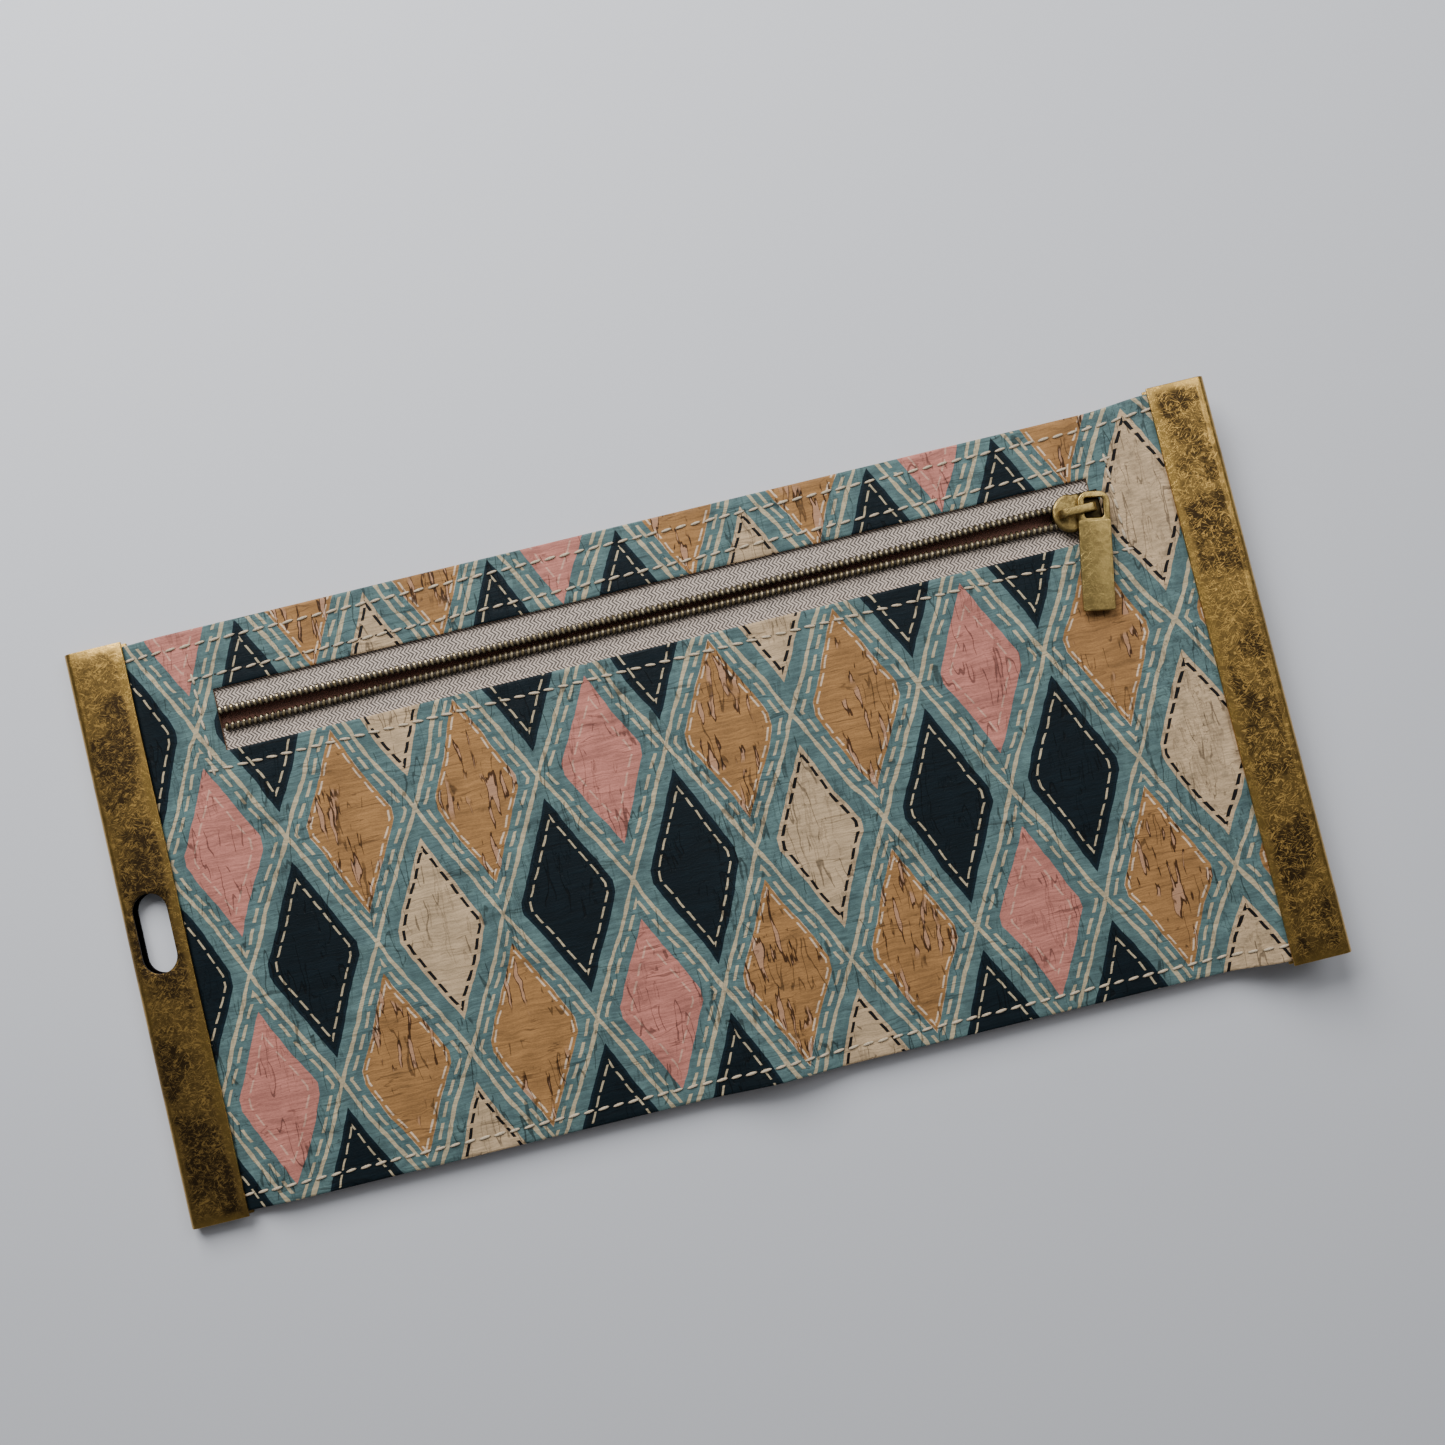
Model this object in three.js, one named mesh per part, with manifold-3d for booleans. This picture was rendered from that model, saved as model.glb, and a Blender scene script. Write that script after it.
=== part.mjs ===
// Cork wallet, open and lying with its outside up. Millimetres, +Z up.
// The origin is on the table below the middle; +X points to the bar with the latch, +Y to the zip.
import * as THREE from 'three';
import { mergeVertices } from 'three/addons/utils/BufferGeometryUtils.js';
import Module from 'manifold-3d';

const wasm = await Module();
wasm.setup();

// Whole wallet
const LENGTH = 208.6;
const BAR_LENGTH = 104;
const PANEL_HEIGHT = 102.4;
const FOLD_X = 2.5;
const SEAM_GAP = 0.05;
const RUN_GAP = 0.25;
const CUT_MARGIN = 1;
const ROUND_SIDES = 20;

// Sheet materials
const CORK_T = 0.75;
const INNER_T = 0.5;
const LINING_T = 0.25;
const TAPE_T = 0.4;
const CARD_T = 0.3;

// Folded end bars
const BAR_W = 10.65;
const BAR_T = 3;
const BAR_WALL = 0.55;
const BAR_GRIP = 9;
const SLOT_LENGTH = 14.4;
const SLOT_W = 6.2;
const NOTCH_MARGIN = 0.8;

// Zip
const ZIP_FROM_EDGE = 17;
const WINDOW_LEFT_MARGIN = 14.25;
const WINDOW_RIGHT_MARGIN = 12.65;
const WINDOW_W = 11.2;
const TAPE_REACH = 12.5;
const POCKET_DEPTH = 1.6;
const ROW_GAP = 1.4;
const ROW_W = 1.7;
const COIL_T = 1.2;
const TOOTH_PITCH = 1.04;
const TOOTH_WIDTH = 0.6;
const SPINE_W = 0.55;

// Slider and pull
const SLIDER_LENGTH = 8;
const SLIDER_TAIL_W = 6.4;
const SLIDER_SHOULDER_W = 7;
const SLIDER_INSET = -0.2;
const SHOULDER_X = 1.8;
const WAIST_X = 0.8;
const LOWER_PLATE_INSET = 0.3;
const FLANGE_SINK = 0.1;
const PLATE_T = 0.6;
const WEDGE_W = 0.9;
const WEDGE_LENGTH = 2.4;
const WEDGE_SETBACK = 1;
const BRIDGE_W = 1.2;
const BRIDGE_T = 0.8;
const BRIDGE_SPAN = 6.1;
const BRIDGE_CORNER = 0.7;
const BRIDGE_LEG_SHIFT = 0.16;
const PULL_T = 0.7;
const PULL_RING = 5.7;
const PULL_HOLE = 3.5;
const PULL_TAB_W = 5.4;
const PULL_TAB_LENGTH = 15.6;
const PULL_CORNER = 0.9;
const PULL_EYE_LIP = 0.3;
const PULL_TURN = THREE.MathUtils.degToRad(-10.4);
const PULL_TILT = THREE.MathUtils.degToRad(2.2);
const PULL_PLAY = 0.35;

// Turn latch
const KNOB_LENGTH = 12.8;
const KNOB_W = 4.8;
const KNOB_T = 1.8;
const KNOB_BEVEL = 0.3;
const LATCH_CLEARANCE = 0.4;
const SHANK_R = 1.2;
const SHANK_GAP = 0.3;
const BUSHING_R = 2.4;
const BUSHING_STAND = 0.3;
const FLANGE_R = 2.9;
const FLANGE_T = 0.6;
const WASHER_T = 0.2;
const HEAD_R = 2;
const HEAD_T = 0.5;

// Card pockets on the inside
const CARD_LIPS = [8, -6, -20];
const CARD_BOTTOM = 2;
const CARD_MARGIN = 7.65;
const CARD_LEAD = 10;
const CARD_FOLD_GAP = 5.5;
const HEM = 2;

// How the cloth lies
const HUMP_RISE = 2;
const HUMP_HALF_W = 14;
const BAR_EASE_LEFT = 7.65;
const BAR_EASE_RIGHT = 10.6;

// Values worked out from the sizes above
const halfLength = LENGTH / 2;
const halfPanel = PANEL_HEIGHT / 2;
const zipY = halfPanel - ZIP_FROM_EDGE;
const barInner = halfLength - BAR_W;
const barMiddle = halfLength - BAR_W / 2;
const raise = BAR_T + LATCH_CLEARANCE + KNOB_T;
const sheetEnd = barInner + BAR_GRIP;
const windowLeft = -barInner + WINDOW_LEFT_MARGIN;
const windowRight = barInner - WINDOW_RIGHT_MARGIN;
const cardOuter = barInner - CARD_MARGIN;
const notchX = barMiddle - SLOT_W / 2 - NOTCH_MARGIN;
const notchY = SLOT_LENGTH / 2 + NOTCH_MARGIN;
const cardPitch = CARD_T + SEAM_GAP;
const clampStack = INNER_T + SEAM_GAP + CORK_T;
const clampInner = (BAR_T - clampStack) / 2;
const clampOuter = clampInner + INNER_T + SEAM_GAP;
const liningTop = SEAM_GAP + INNER_T + SEAM_GAP + LINING_T;
const outerLevel = liningTop + POCKET_DEPTH;
const tapeTop = outerLevel - SEAM_GAP;
const tapeBottom = tapeTop - TAPE_T;
const coilBottom = tapeTop + SEAM_GAP;
const coilTop = coilBottom + COIL_T;
const windowBottom = zipY - WINDOW_W / 2;
const windowTop = zipY + WINDOW_W / 2;
const humpTop = CARD_LIPS[0];

const clamp01 = (t) => Math.min(1, Math.max(0, t));
const ease = (t) => clamp01(t) ** 2 * (3 - 2 * clamp01(t));

// Grid lines that every sheet shares, so that sheets one above another stay parallel
function gridLines(values) {
  const sorted = [...values].sort((a, b) => a - b);
  return sorted.filter((v, i) => i === 0 || v - sorted[i - 1] > 0.01);
}

const spread = (from, to, count) =>
  Array.from({ length: count + 1 }, (_, i) => from + ((to - from) * i) / count);

const xLines = gridLines([
  -sheetEnd, -notchX, sheetEnd, notchX,
  ...spread(-barInner, -barInner + BAR_EASE_LEFT, 2),
  ...spread(barInner - BAR_EASE_RIGHT, barInner, 4),
  windowLeft, windowRight,
  ...spread(windowLeft, FOLD_X - HUMP_HALF_W, 3),
  ...spread(FOLD_X - HUMP_HALF_W, FOLD_X + HUMP_HALF_W, 4),
  ...spread(FOLD_X + HUMP_HALF_W, windowRight, 3),
  -cardOuter, cardOuter, FOLD_X - CARD_FOLD_GAP, FOLD_X + CARD_FOLD_GAP,
]);

const yLines = gridLines([
  -halfPanel, halfPanel, -notchY, notchY,
  -halfPanel + HEM, halfPanel - HEM,
  ...CARD_LIPS,
  zipY - TAPE_REACH, zipY + TAPE_REACH, windowBottom, windowTop,
  zipY - ROW_GAP / 2 - SPINE_W, zipY + ROW_GAP / 2 + SPINE_W,
]);

// Share of the way from the table's level up to a bar, 0 at the flat part and 1 in the bar
const towardLeftBar = (x) => ease((-barInner + BAR_EASE_LEFT - x) / BAR_EASE_LEFT);
const towardRightBar = (x) => ease((x - barInner + BAR_EASE_RIGHT) / BAR_EASE_RIGHT);

// The soft fold stands up a little, more at the edge away from the zip
function hump(x, y) {
  const across = clamp01(1 - Math.abs(x - FOLD_X) / HUMP_HALF_W);
  const along = clamp01((humpTop - y) / (humpTop + halfPanel));
  return HUMP_RISE * ease(across) * along;
}

// Thickness of the card pockets below a place
function cardStack(y) {
  const [first, second, third] = CARD_LIPS;
  if (y >= first) return cardPitch * clamp01(1 - (y - first) / CARD_LEAD);
  if (y >= second) return cardPitch * (1 + (first - y) / (first - second));
  if (y >= third) return cardPitch * (2 + (second - y) / (second - third));
  return cardPitch * 3;
}

function between(x, level, left, right) {
  const a = towardLeftBar(x);
  const b = towardRightBar(x);
  return level * (1 - a - b) + left * a + right * b;
}

const innerBottom = (x, y) =>
  between(x, SEAM_GAP + cardStack(y) + hump(x, y), clampInner, raise + clampInner);
const outerBottom = (x, y) =>
  between(x, outerLevel + hump(x, y), clampOuter, raise + clampOuter);

// A closed sheet over the grid cells that the test picks
function sheet(picks, bottom, top) {
  const at = new Map();
  const positions = [];
  const index = [];
  const vertex = (i, j, upper) => {
    const key = `${i},${j},${upper}`;
    if (!at.has(key)) {
      at.set(key, positions.length / 3);
      const [x, y] = [xLines[i], yLines[j]];
      positions.push(x, y, upper ? top(x, y) : bottom(x, y));
    }
    return at.get(key);
  };
  const filled = (i, j) =>
    i >= 0 && j >= 0 && i < xLines.length - 1 && j < yLines.length - 1 &&
    picks((xLines[i] + xLines[i + 1]) / 2, (yLines[j] + yLines[j + 1]) / 2);
  const wall = (i0, j0, i1, j1) => {
    const [a, b] = [vertex(i0, j0, 0), vertex(i1, j1, 0)];
    const [c, d] = [vertex(i1, j1, 1), vertex(i0, j0, 1)];
    index.push(a, b, c, a, c, d);
  };
  for (let i = 0; i < xLines.length - 1; i += 1) {
    for (let j = 0; j < yLines.length - 1; j += 1) {
      if (!filled(i, j)) continue;
      for (const upper of [0, 1]) {
        const [a, b] = [vertex(i, j, upper), vertex(i + 1, j, upper)];
        const [c, d] = [vertex(i + 1, j + 1, upper), vertex(i, j + 1, upper)];
        if (upper) index.push(a, b, c, a, c, d);
        else index.push(a, c, b, a, d, c);
      }
      if (!filled(i, j - 1)) wall(i, j, i + 1, j);
      if (!filled(i + 1, j)) wall(i + 1, j, i + 1, j + 1);
      if (!filled(i, j + 1)) wall(i + 1, j + 1, i, j + 1);
      if (!filled(i - 1, j)) wall(i, j + 1, i, j);
    }
  }
  const geometry = new THREE.BufferGeometry();
  geometry.setAttribute('position', new THREE.Float32BufferAttribute(positions, 3));
  geometry.setIndex(index);
  return geometry;
}

const raised = (surface, by) => (x, y) => surface(x, y) + by;

// Booleans
function toSolid(geometry) {
  const bare = geometry.clone();
  bare.deleteAttribute('normal');
  bare.deleteAttribute('uv');
  const merged = mergeVertices(bare, 1e-5);
  return new wasm.Manifold(new wasm.Mesh({
    numProp: 3,
    vertProperties: new Float32Array(merged.attributes.position.array),
    triVerts: new Uint32Array(merged.index.array),
  }));
}

function toGeometry(solid) {
  const mesh = solid.getMesh();
  const geometry = new THREE.BufferGeometry();
  geometry.setAttribute('position', new THREE.BufferAttribute(mesh.vertProperties, 3));
  geometry.setIndex(new THREE.BufferAttribute(mesh.triVerts, 1));
  return geometry;
}

const joined = (...parts) => parts.map(toSolid).reduce((a, b) => a.add(b));

// An outline pushed up from one height to another
function slab(shape, zLow, zHigh, bevel = 0) {
  const geometry = new THREE.ExtrudeGeometry(shape, {
    depth: zHigh - zLow - 2 * bevel,
    bevelEnabled: bevel > 0,
    bevelThickness: bevel,
    bevelSize: bevel,
    bevelOffset: -bevel,
    bevelSegments: 1,
    curveSegments: 5,
  });
  return geometry.translate(0, 0, zLow + bevel);
}

// An outline in X and Z pushed along Y
function beam(shape, yLow, yHigh) {
  const geometry = new THREE.ExtrudeGeometry(shape, {
    depth: yHigh - yLow, bevelEnabled: false, curveSegments: 8,
  });
  return geometry.rotateX(Math.PI / 2).translate(0, yHigh, 0);
}

function box(xLow, xHigh, yLow, yHigh, zLow, zHigh) {
  const geometry = new THREE.BoxGeometry(xHigh - xLow, yHigh - yLow, zHigh - zLow);
  return geometry.translate((xLow + xHigh) / 2, (yLow + yHigh) / 2, (zLow + zHigh) / 2);
}

function disc(radius, zLow, zHigh) {
  const geometry = new THREE.CylinderGeometry(radius, radius, zHigh - zLow, ROUND_SIDES);
  return geometry.rotateX(Math.PI / 2).translate(0, 0, (zLow + zHigh) / 2);
}

// A long hole or knob outline with round ends, along Y
function stadium(length, width) {
  const r = width / 2;
  const straight = length / 2 - r;
  const shape = new THREE.Shape();
  shape.absarc(0, straight, r, 0, Math.PI, false);
  shape.absarc(0, -straight, r, Math.PI, 2 * Math.PI, false);
  shape.closePath();
  return shape;
}

// A rectangle with round corners, as a shape or as a hole
function roundedRect(path, xLow, xHigh, yLow, yHigh, r) {
  path.moveTo(xLow + r, yLow);
  path.lineTo(xHigh - r, yLow);
  path.absarc(xHigh - r, yLow + r, r, -Math.PI / 2, 0, false);
  path.lineTo(xHigh, yHigh - r);
  path.absarc(xHigh - r, yHigh - r, r, 0, Math.PI / 2, false);
  path.lineTo(xLow + r, yHigh);
  path.absarc(xLow + r, yHigh - r, r, Math.PI / 2, Math.PI, false);
  path.lineTo(xLow, yLow + r);
  path.absarc(xLow + r, yLow + r, r, Math.PI, 1.5 * Math.PI, false);
  return path;
}

// Sheets
const inWindow = (x, y) =>
  x > windowLeft && x < windowRight && y > windowBottom && y < windowTop;
const inNotch = (x, y) => Math.abs(x) > notchX && Math.abs(y) < notchY;

function outerPanel() {
  return sheet((x, y) => !inWindow(x, y) && !inNotch(x, y),
    outerBottom, raised(outerBottom, CORK_T));
}

function innerPanel() {
  return sheet((x, y) => !inNotch(x, y), innerBottom, raised(innerBottom, INNER_T));
}

function pocketLining() {
  const base = INNER_T + SEAM_GAP;
  return sheet(
    (x, y) => Math.abs(x) < cardOuter && Math.abs(y) < halfPanel - HEM,
    raised(innerBottom, base), raised(innerBottom, base + LINING_T));
}

function zipTape(side) {
  const inner = ROW_GAP / 2 + SPINE_W;
  const picks = (x, y) => {
    const across = side * (y - zipY);
    return across > inner && across < TAPE_REACH &&
      Math.abs(x) < cardOuter;
  };
  return sheet(picks, raised(outerBottom, -SEAM_GAP - TAPE_T), raised(outerBottom, -SEAM_GAP));
}

function cardPocket(side, layer) {
  const inner = side > 0 ? FOLD_X + CARD_FOLD_GAP : FOLD_X - CARD_FOLD_GAP;
  const picks = (x, y) =>
    side * x > side * inner && side * x < cardOuter &&
    y < CARD_LIPS[layer] && y > -halfPanel + CARD_BOTTOM;
  const top = -SEAM_GAP - layer * cardPitch;
  return sheet(picks, raised(innerBottom, top - CARD_T), raised(innerBottom, top));
}

// One row of the coil: a spine along the tape and a tooth for each turn
function coilRow(side) {
  const heads = zipY + side * ROW_GAP / 2;
  const spine = heads + side * (ROW_W - SPINE_W);
  const back = heads + side * ROW_W;
  const first = windowLeft + RUN_GAP;
  const last = windowRight - RUN_GAP;
  const count = Math.floor((last - first) / TOOTH_PITCH);
  const start = (first + last - count * TOOTH_PITCH) / 2 + (side > 0 ? 0 : TOOTH_PITCH / 4);
  const points = [[first, back], [last, back], [last, spine]];
  for (let i = count - 1; i >= 0; i -= 1) {
    const left = start + i * TOOTH_PITCH;
    const right = left + TOOTH_WIDTH;
    points.push([right, spine], [right, heads], [left, heads], [left, spine]);
  }
  points.push([first, spine]);
  const shape = new THREE.Shape(points.map(([x, y]) => new THREE.Vector2(x, y)));
  return slab(shape, coilBottom, coilTop);
}

// Slider: two plates held apart by a wedge, side flanges, and the bridge that carries the pull
const upperPlate = coilTop + RUN_GAP;
const plateTop = upperPlate + PLATE_T;
const lowerPlate = tapeBottom - RUN_GAP - PLATE_T;
const channel = ROW_GAP / 2 + ROW_W + RUN_GAP;
const sliderX = windowRight - SLIDER_LENGTH / 2 - SLIDER_INSET;
const ringBottom = plateTop + PULL_PLAY;
const bridgeUnder = ringBottom + PULL_T + PULL_PLAY + SEAM_GAP;
const legX = sliderX + BRIDGE_SPAN / 2 + BRIDGE_LEG_SHIFT;

function sliderOutline(length, grow) {
  const back = SLIDER_LENGTH / 2 - (SLIDER_LENGTH - length);
  const tail = SLIDER_TAIL_W / 2 - grow;
  const shoulder = SLIDER_SHOULDER_W / 2 - grow;
  const front = -SLIDER_LENGTH / 2 + grow;
  const shape = new THREE.Shape();
  shape.moveTo(back, -tail);
  shape.lineTo(back, tail);
  shape.lineTo(0, tail);
  shape.quadraticCurveTo(-WAIST_X, shoulder, -SHOULDER_X, shoulder);
  shape.quadraticCurveTo(front, shoulder, front, 0);
  shape.quadraticCurveTo(front, -shoulder, -SHOULDER_X, -shoulder);
  shape.quadraticCurveTo(-WAIST_X, -shoulder, 0, -tail);
  shape.closePath();
  return shape;
}

function bridgeOutline() {
  const left = sliderX - BRIDGE_SPAN / 2;
  const right = legX + BRIDGE_T / 2;
  const top = bridgeUnder + BRIDGE_T;
  const r = BRIDGE_CORNER;
  const shape = new THREE.Shape();
  shape.moveTo(left, upperPlate + PLATE_T / 2);
  shape.lineTo(left + BRIDGE_T, upperPlate + PLATE_T / 2);
  shape.lineTo(left + BRIDGE_T, bridgeUnder);
  shape.lineTo(right - BRIDGE_T, bridgeUnder);
  shape.lineTo(right - BRIDGE_T, upperPlate + PLATE_T / 2);
  shape.lineTo(right, upperPlate + PLATE_T / 2);
  shape.lineTo(right, top - r);
  shape.absarc(right - r, top - r, r, 0, Math.PI / 2, false);
  shape.lineTo(left + r, top);
  shape.absarc(left + r, top - r, r, Math.PI / 2, Math.PI, false);
  shape.closePath();
  return shape;
}

function zipSlider() {
  const inside = SLIDER_LENGTH + SLIDER_INSET - RUN_GAP;
  const place = (geometry) => geometry.translate(sliderX, zipY, 0);
  const upper = place(slab(sliderOutline(SLIDER_LENGTH, 0), upperPlate, plateTop));
  const lower = place(slab(sliderOutline(inside, LOWER_PLATE_INSET),
    lowerPlate, lowerPlate + PLATE_T));
  const flangeLow = tapeTop + RUN_GAP;
  const flangeTop = upperPlate + FLANGE_SINK;
  const flanges = toSolid(place(slab(sliderOutline(inside, 0), flangeLow, flangeTop)))
    .subtract(toSolid(box(sliderX - SLIDER_LENGTH, sliderX + SLIDER_LENGTH,
      zipY - channel, zipY + channel, flangeLow - CUT_MARGIN, upperPlate)));
  const wedgeLeft = sliderX - SLIDER_LENGTH / 2 + WEDGE_SETBACK;
  const wedge = box(wedgeLeft, wedgeLeft + WEDGE_LENGTH, zipY - WEDGE_W / 2,
    zipY + WEDGE_W / 2, lowerPlate + PLATE_T / 2, upperPlate + PLATE_T / 2);
  const bridge = beam(bridgeOutline(), zipY - BRIDGE_W / 2, zipY + BRIDGE_W / 2);
  return toGeometry(joined(upper, lower, wedge, bridge).add(flanges));
}

// Pull, drawn round the bridge's leg and pointing along -Y
function zipPull() {
  const ring = PULL_RING / 2;
  const hole = PULL_HOLE / 2;
  const tab = PULL_TAB_W / 2;
  const tip = -ring - PULL_TAB_LENGTH;
  const frame = roundedRect(new THREE.Shape(), -ring, ring, -ring, ring, PULL_CORNER);
  frame.holes.push(roundedRect(new THREE.Path(), -hole, hole, -hole, hole, PULL_CORNER));
  const blade = roundedRect(new THREE.Shape(), -tab, tab, tip, -hole - PULL_EYE_LIP, PULL_CORNER);
  return toGeometry(joined(slab(frame, 0, PULL_T), slab(blade, 0, PULL_T)));
}

// Bars, folded from sheet round the end of the cloth; the round fold is the outer long edge
function foldedBar(side, zLow) {
  const r = BAR_T / 2;
  const outer = side * (halfLength - r);
  const inner = side * barInner;
  const middle = zLow + r;
  const clockwise = side > 0;
  const shape = new THREE.Shape();
  shape.moveTo(inner, zLow);
  shape.lineTo(outer, zLow);
  shape.absarc(outer, middle, r, -Math.PI / 2, Math.PI / 2, !clockwise);
  shape.lineTo(inner, zLow + BAR_T);
  shape.lineTo(inner, zLow + BAR_T - BAR_WALL);
  shape.lineTo(outer, zLow + BAR_T - BAR_WALL);
  shape.absarc(outer, middle, r - BAR_WALL, Math.PI / 2, -Math.PI / 2, clockwise);
  shape.lineTo(inner, zLow + BAR_WALL);
  shape.closePath();
  return toSolid(beam(shape, -BAR_LENGTH / 2, BAR_LENGTH / 2));
}

function slottedBar() {
  const slot = slab(stadium(SLOT_LENGTH, SLOT_W), -CUT_MARGIN, BAR_T + CUT_MARGIN)
    .translate(-barMiddle, 0, 0);
  return toGeometry(foldedBar(-1, 0).subtract(toSolid(slot)));
}

function latchBar() {
  const hole = disc(BUSHING_R + SEAM_GAP, raise - CUT_MARGIN, raise + BAR_WALL + SEAM_GAP);
  return toGeometry(foldedBar(1, raise).subtract(toSolid(hole.translate(barMiddle, 0, 0))));
}

// Latch: the bushing is pressed in the bar's inner plate, the knob's shank turns in it
const bushingTop = raise + BAR_WALL + BUSHING_STAND;
const washerLow = bushingTop + SEAM_GAP;
const headLow = washerLow + WASHER_T + SEAM_GAP;

function ringSolid(outerR, innerR, zLow, zHigh) {
  const bore = disc(innerR, zLow - CUT_MARGIN, zHigh + CUT_MARGIN);
  return toSolid(disc(outerR, zLow, zHigh)).subtract(toSolid(bore));
}

function latchBushing() {
  const bore = SHANK_R + SHANK_GAP;
  const flange = ringSolid(FLANGE_R, bore, raise - SEAM_GAP - FLANGE_T, raise - SEAM_GAP);
  const barrel = ringSolid(BUSHING_R, bore, raise - FLANGE_T, bushingTop);
  return toGeometry(flange.add(barrel));
}

function latchKnob() {
  const plate = slab(stadium(KNOB_LENGTH, KNOB_W), 0, KNOB_T, KNOB_BEVEL);
  const shank = disc(SHANK_R, KNOB_T / 2, headLow + HEAD_T / 2);
  const head = disc(HEAD_R, headLow, headLow + HEAD_T);
  return toGeometry(joined(plate, shank, head));
}

// Materials
const finish = (color, roughness, metalness) =>
  new THREE.MeshStandardMaterial({ color, roughness, metalness });
const printedCork = () => finish(0x58838a, 0.75, 0);
const lining = () => finish(0x966e5f, 0.9, 0);
const pocketCloth = () => finish(0xb98c5c, 0.85, 0);
const tapeCloth = () => finish(0xa59691, 0.9, 0);
const coilPlastic = () => finish(0x4a3a2a, 0.4, 0.2);
const brass = () => finish(0x967332, 0.4, 1);

const wallet = new THREE.Group();

function add(name, geometry, material) {
  const mesh = new THREE.Mesh(geometry, material);
  mesh.name = name;
  wallet.add(mesh);
  return mesh;
}

add('outer_panel', outerPanel(), printedCork());
add('inner_panel', innerPanel(), pocketCloth());
add('pocket_lining', pocketLining(), lining());
add('zip_tape_upper', zipTape(1), tapeCloth());
add('zip_tape_lower', zipTape(-1), tapeCloth());
add('coil_upper', coilRow(1), coilPlastic());
add('coil_lower', coilRow(-1), coilPlastic());
CARD_LIPS.forEach((_, layer) => {
  add(`card_pocket_left_${layer + 1}`, cardPocket(-1, layer), pocketCloth());
  add(`card_pocket_right_${layer + 1}`, cardPocket(1, layer), pocketCloth());
});
add('zip_slider', zipSlider(), brass());

const pull = add('zip_pull', zipPull(), brass());
pull.position.set(legX, zipY, ringBottom);
pull.rotation.set(PULL_TILT, 0, PULL_TURN, 'ZXY');

add('slotted_bar', slottedBar(), brass());
add('latch_bar', latchBar(), brass());

const latch = new THREE.Group();
latch.position.x = barMiddle;
wallet.add(latch);
const washer = ringSolid(BUSHING_R, SHANK_R + SHANK_GAP, washerLow, washerLow + WASHER_T);
const latchParts = {
  latch_bushing: latchBushing(),
  latch_washer: toGeometry(washer),
  latch_knob: latchKnob(),
};
for (const [name, geometry] of Object.entries(latchParts)) {
  latch.add(add(name, geometry, brass()));
}

export default wallet;
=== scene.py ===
import math

import bpy
import bmesh
from mathutils import Matrix, Vector, noise


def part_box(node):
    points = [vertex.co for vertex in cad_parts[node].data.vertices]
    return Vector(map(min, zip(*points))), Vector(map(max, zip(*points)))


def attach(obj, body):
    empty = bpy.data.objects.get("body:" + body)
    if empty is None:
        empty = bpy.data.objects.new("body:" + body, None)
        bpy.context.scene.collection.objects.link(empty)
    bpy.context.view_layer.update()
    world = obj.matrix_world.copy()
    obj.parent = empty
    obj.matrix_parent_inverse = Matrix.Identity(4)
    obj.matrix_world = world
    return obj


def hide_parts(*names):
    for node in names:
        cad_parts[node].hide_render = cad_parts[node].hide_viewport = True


bl_info = {
    "name": "Cork wallet",
    "version": (1, 0, 0),
    "blender": (4, 5, 0),
    "location": "3D View > Sidebar > Wallet",
    "description": "Builds a cork wallet with a zip pocket, folded brass bars and a turn latch",
    "category": "Add Mesh",
}

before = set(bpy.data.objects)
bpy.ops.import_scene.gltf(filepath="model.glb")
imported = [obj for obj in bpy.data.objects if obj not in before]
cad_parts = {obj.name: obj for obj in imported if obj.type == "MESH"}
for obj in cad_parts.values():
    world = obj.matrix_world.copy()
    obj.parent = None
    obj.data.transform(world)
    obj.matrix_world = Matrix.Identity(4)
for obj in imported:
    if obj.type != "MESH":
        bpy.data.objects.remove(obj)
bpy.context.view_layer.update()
MM = 0.001
QUARTER = math.pi / 2
SHARP = math.radians(40)

# Places taken from the frame
LEFT_LOW, LEFT_HIGH = (Vector(corner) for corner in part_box("slotted_bar"))
RIGHT_LOW, RIGHT_HIGH = (Vector(corner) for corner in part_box("latch_bar"))
PANEL_HIGH = Vector(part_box("outer_panel")[1])
COIL_LOW, COIL_HIGH = (Vector(corner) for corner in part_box("coil_upper"))
SLIDER_LOW, SLIDER_HIGH = (Vector(corner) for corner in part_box("zip_slider"))
BAR_T = LEFT_HIGH.z - LEFT_LOW.z
BAR_INNER = RIGHT_LOW.x
BAR_MIDDLE = (RIGHT_LOW.x + RIGHT_HIGH.x) / 2
BAR_HALF = RIGHT_HIGH.y
RAISE = RIGHT_LOW.z
PANEL_HALF = PANEL_HIGH.y
SHEET_END = PANEL_HIGH.x

# Cloth, as it lies
FOLD_X = 2.5 * MM
SEAM_GAP = 0.05 * MM
CORK_T = 0.75 * MM
INNER_T = 0.5 * MM
LINING_T = 0.25 * MM
TAPE_T = 0.4 * MM
CARD_T = 0.3 * MM
POCKET_DEPTH = 1.6 * MM
HEM = 2 * MM
CARD_LIPS = [8 * MM, -6 * MM, -20 * MM]
CARD_LEAD = 10 * MM
CARD_FOLD_GAP = 5.5 * MM
INSET_END = BAR_INNER - 7.65 * MM
HUMP_RISE = 2 * MM
HUMP_HALF_W = 14 * MM
BAR_EASE_LEFT = 7.65 * MM
BAR_EASE_RIGHT = 10.6 * MM
CORK_GRID = 1.1 * MM
SHEET_GRID = 2 * MM
SHEET_RIM = 0.12 * MM
EDGE_DROP = 0.16 * MM
EDGE_W = 0.4 * MM
EDGE_STEPS = [-EDGE_W, -0.2 * MM, -0.08 * MM, 0.0, 0.08 * MM, 0.2 * MM, EDGE_W]
WAVE_FADE = 9 * MM
WAVE_X = 26 * MM
WAVE_Y = 19 * MM

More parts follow.
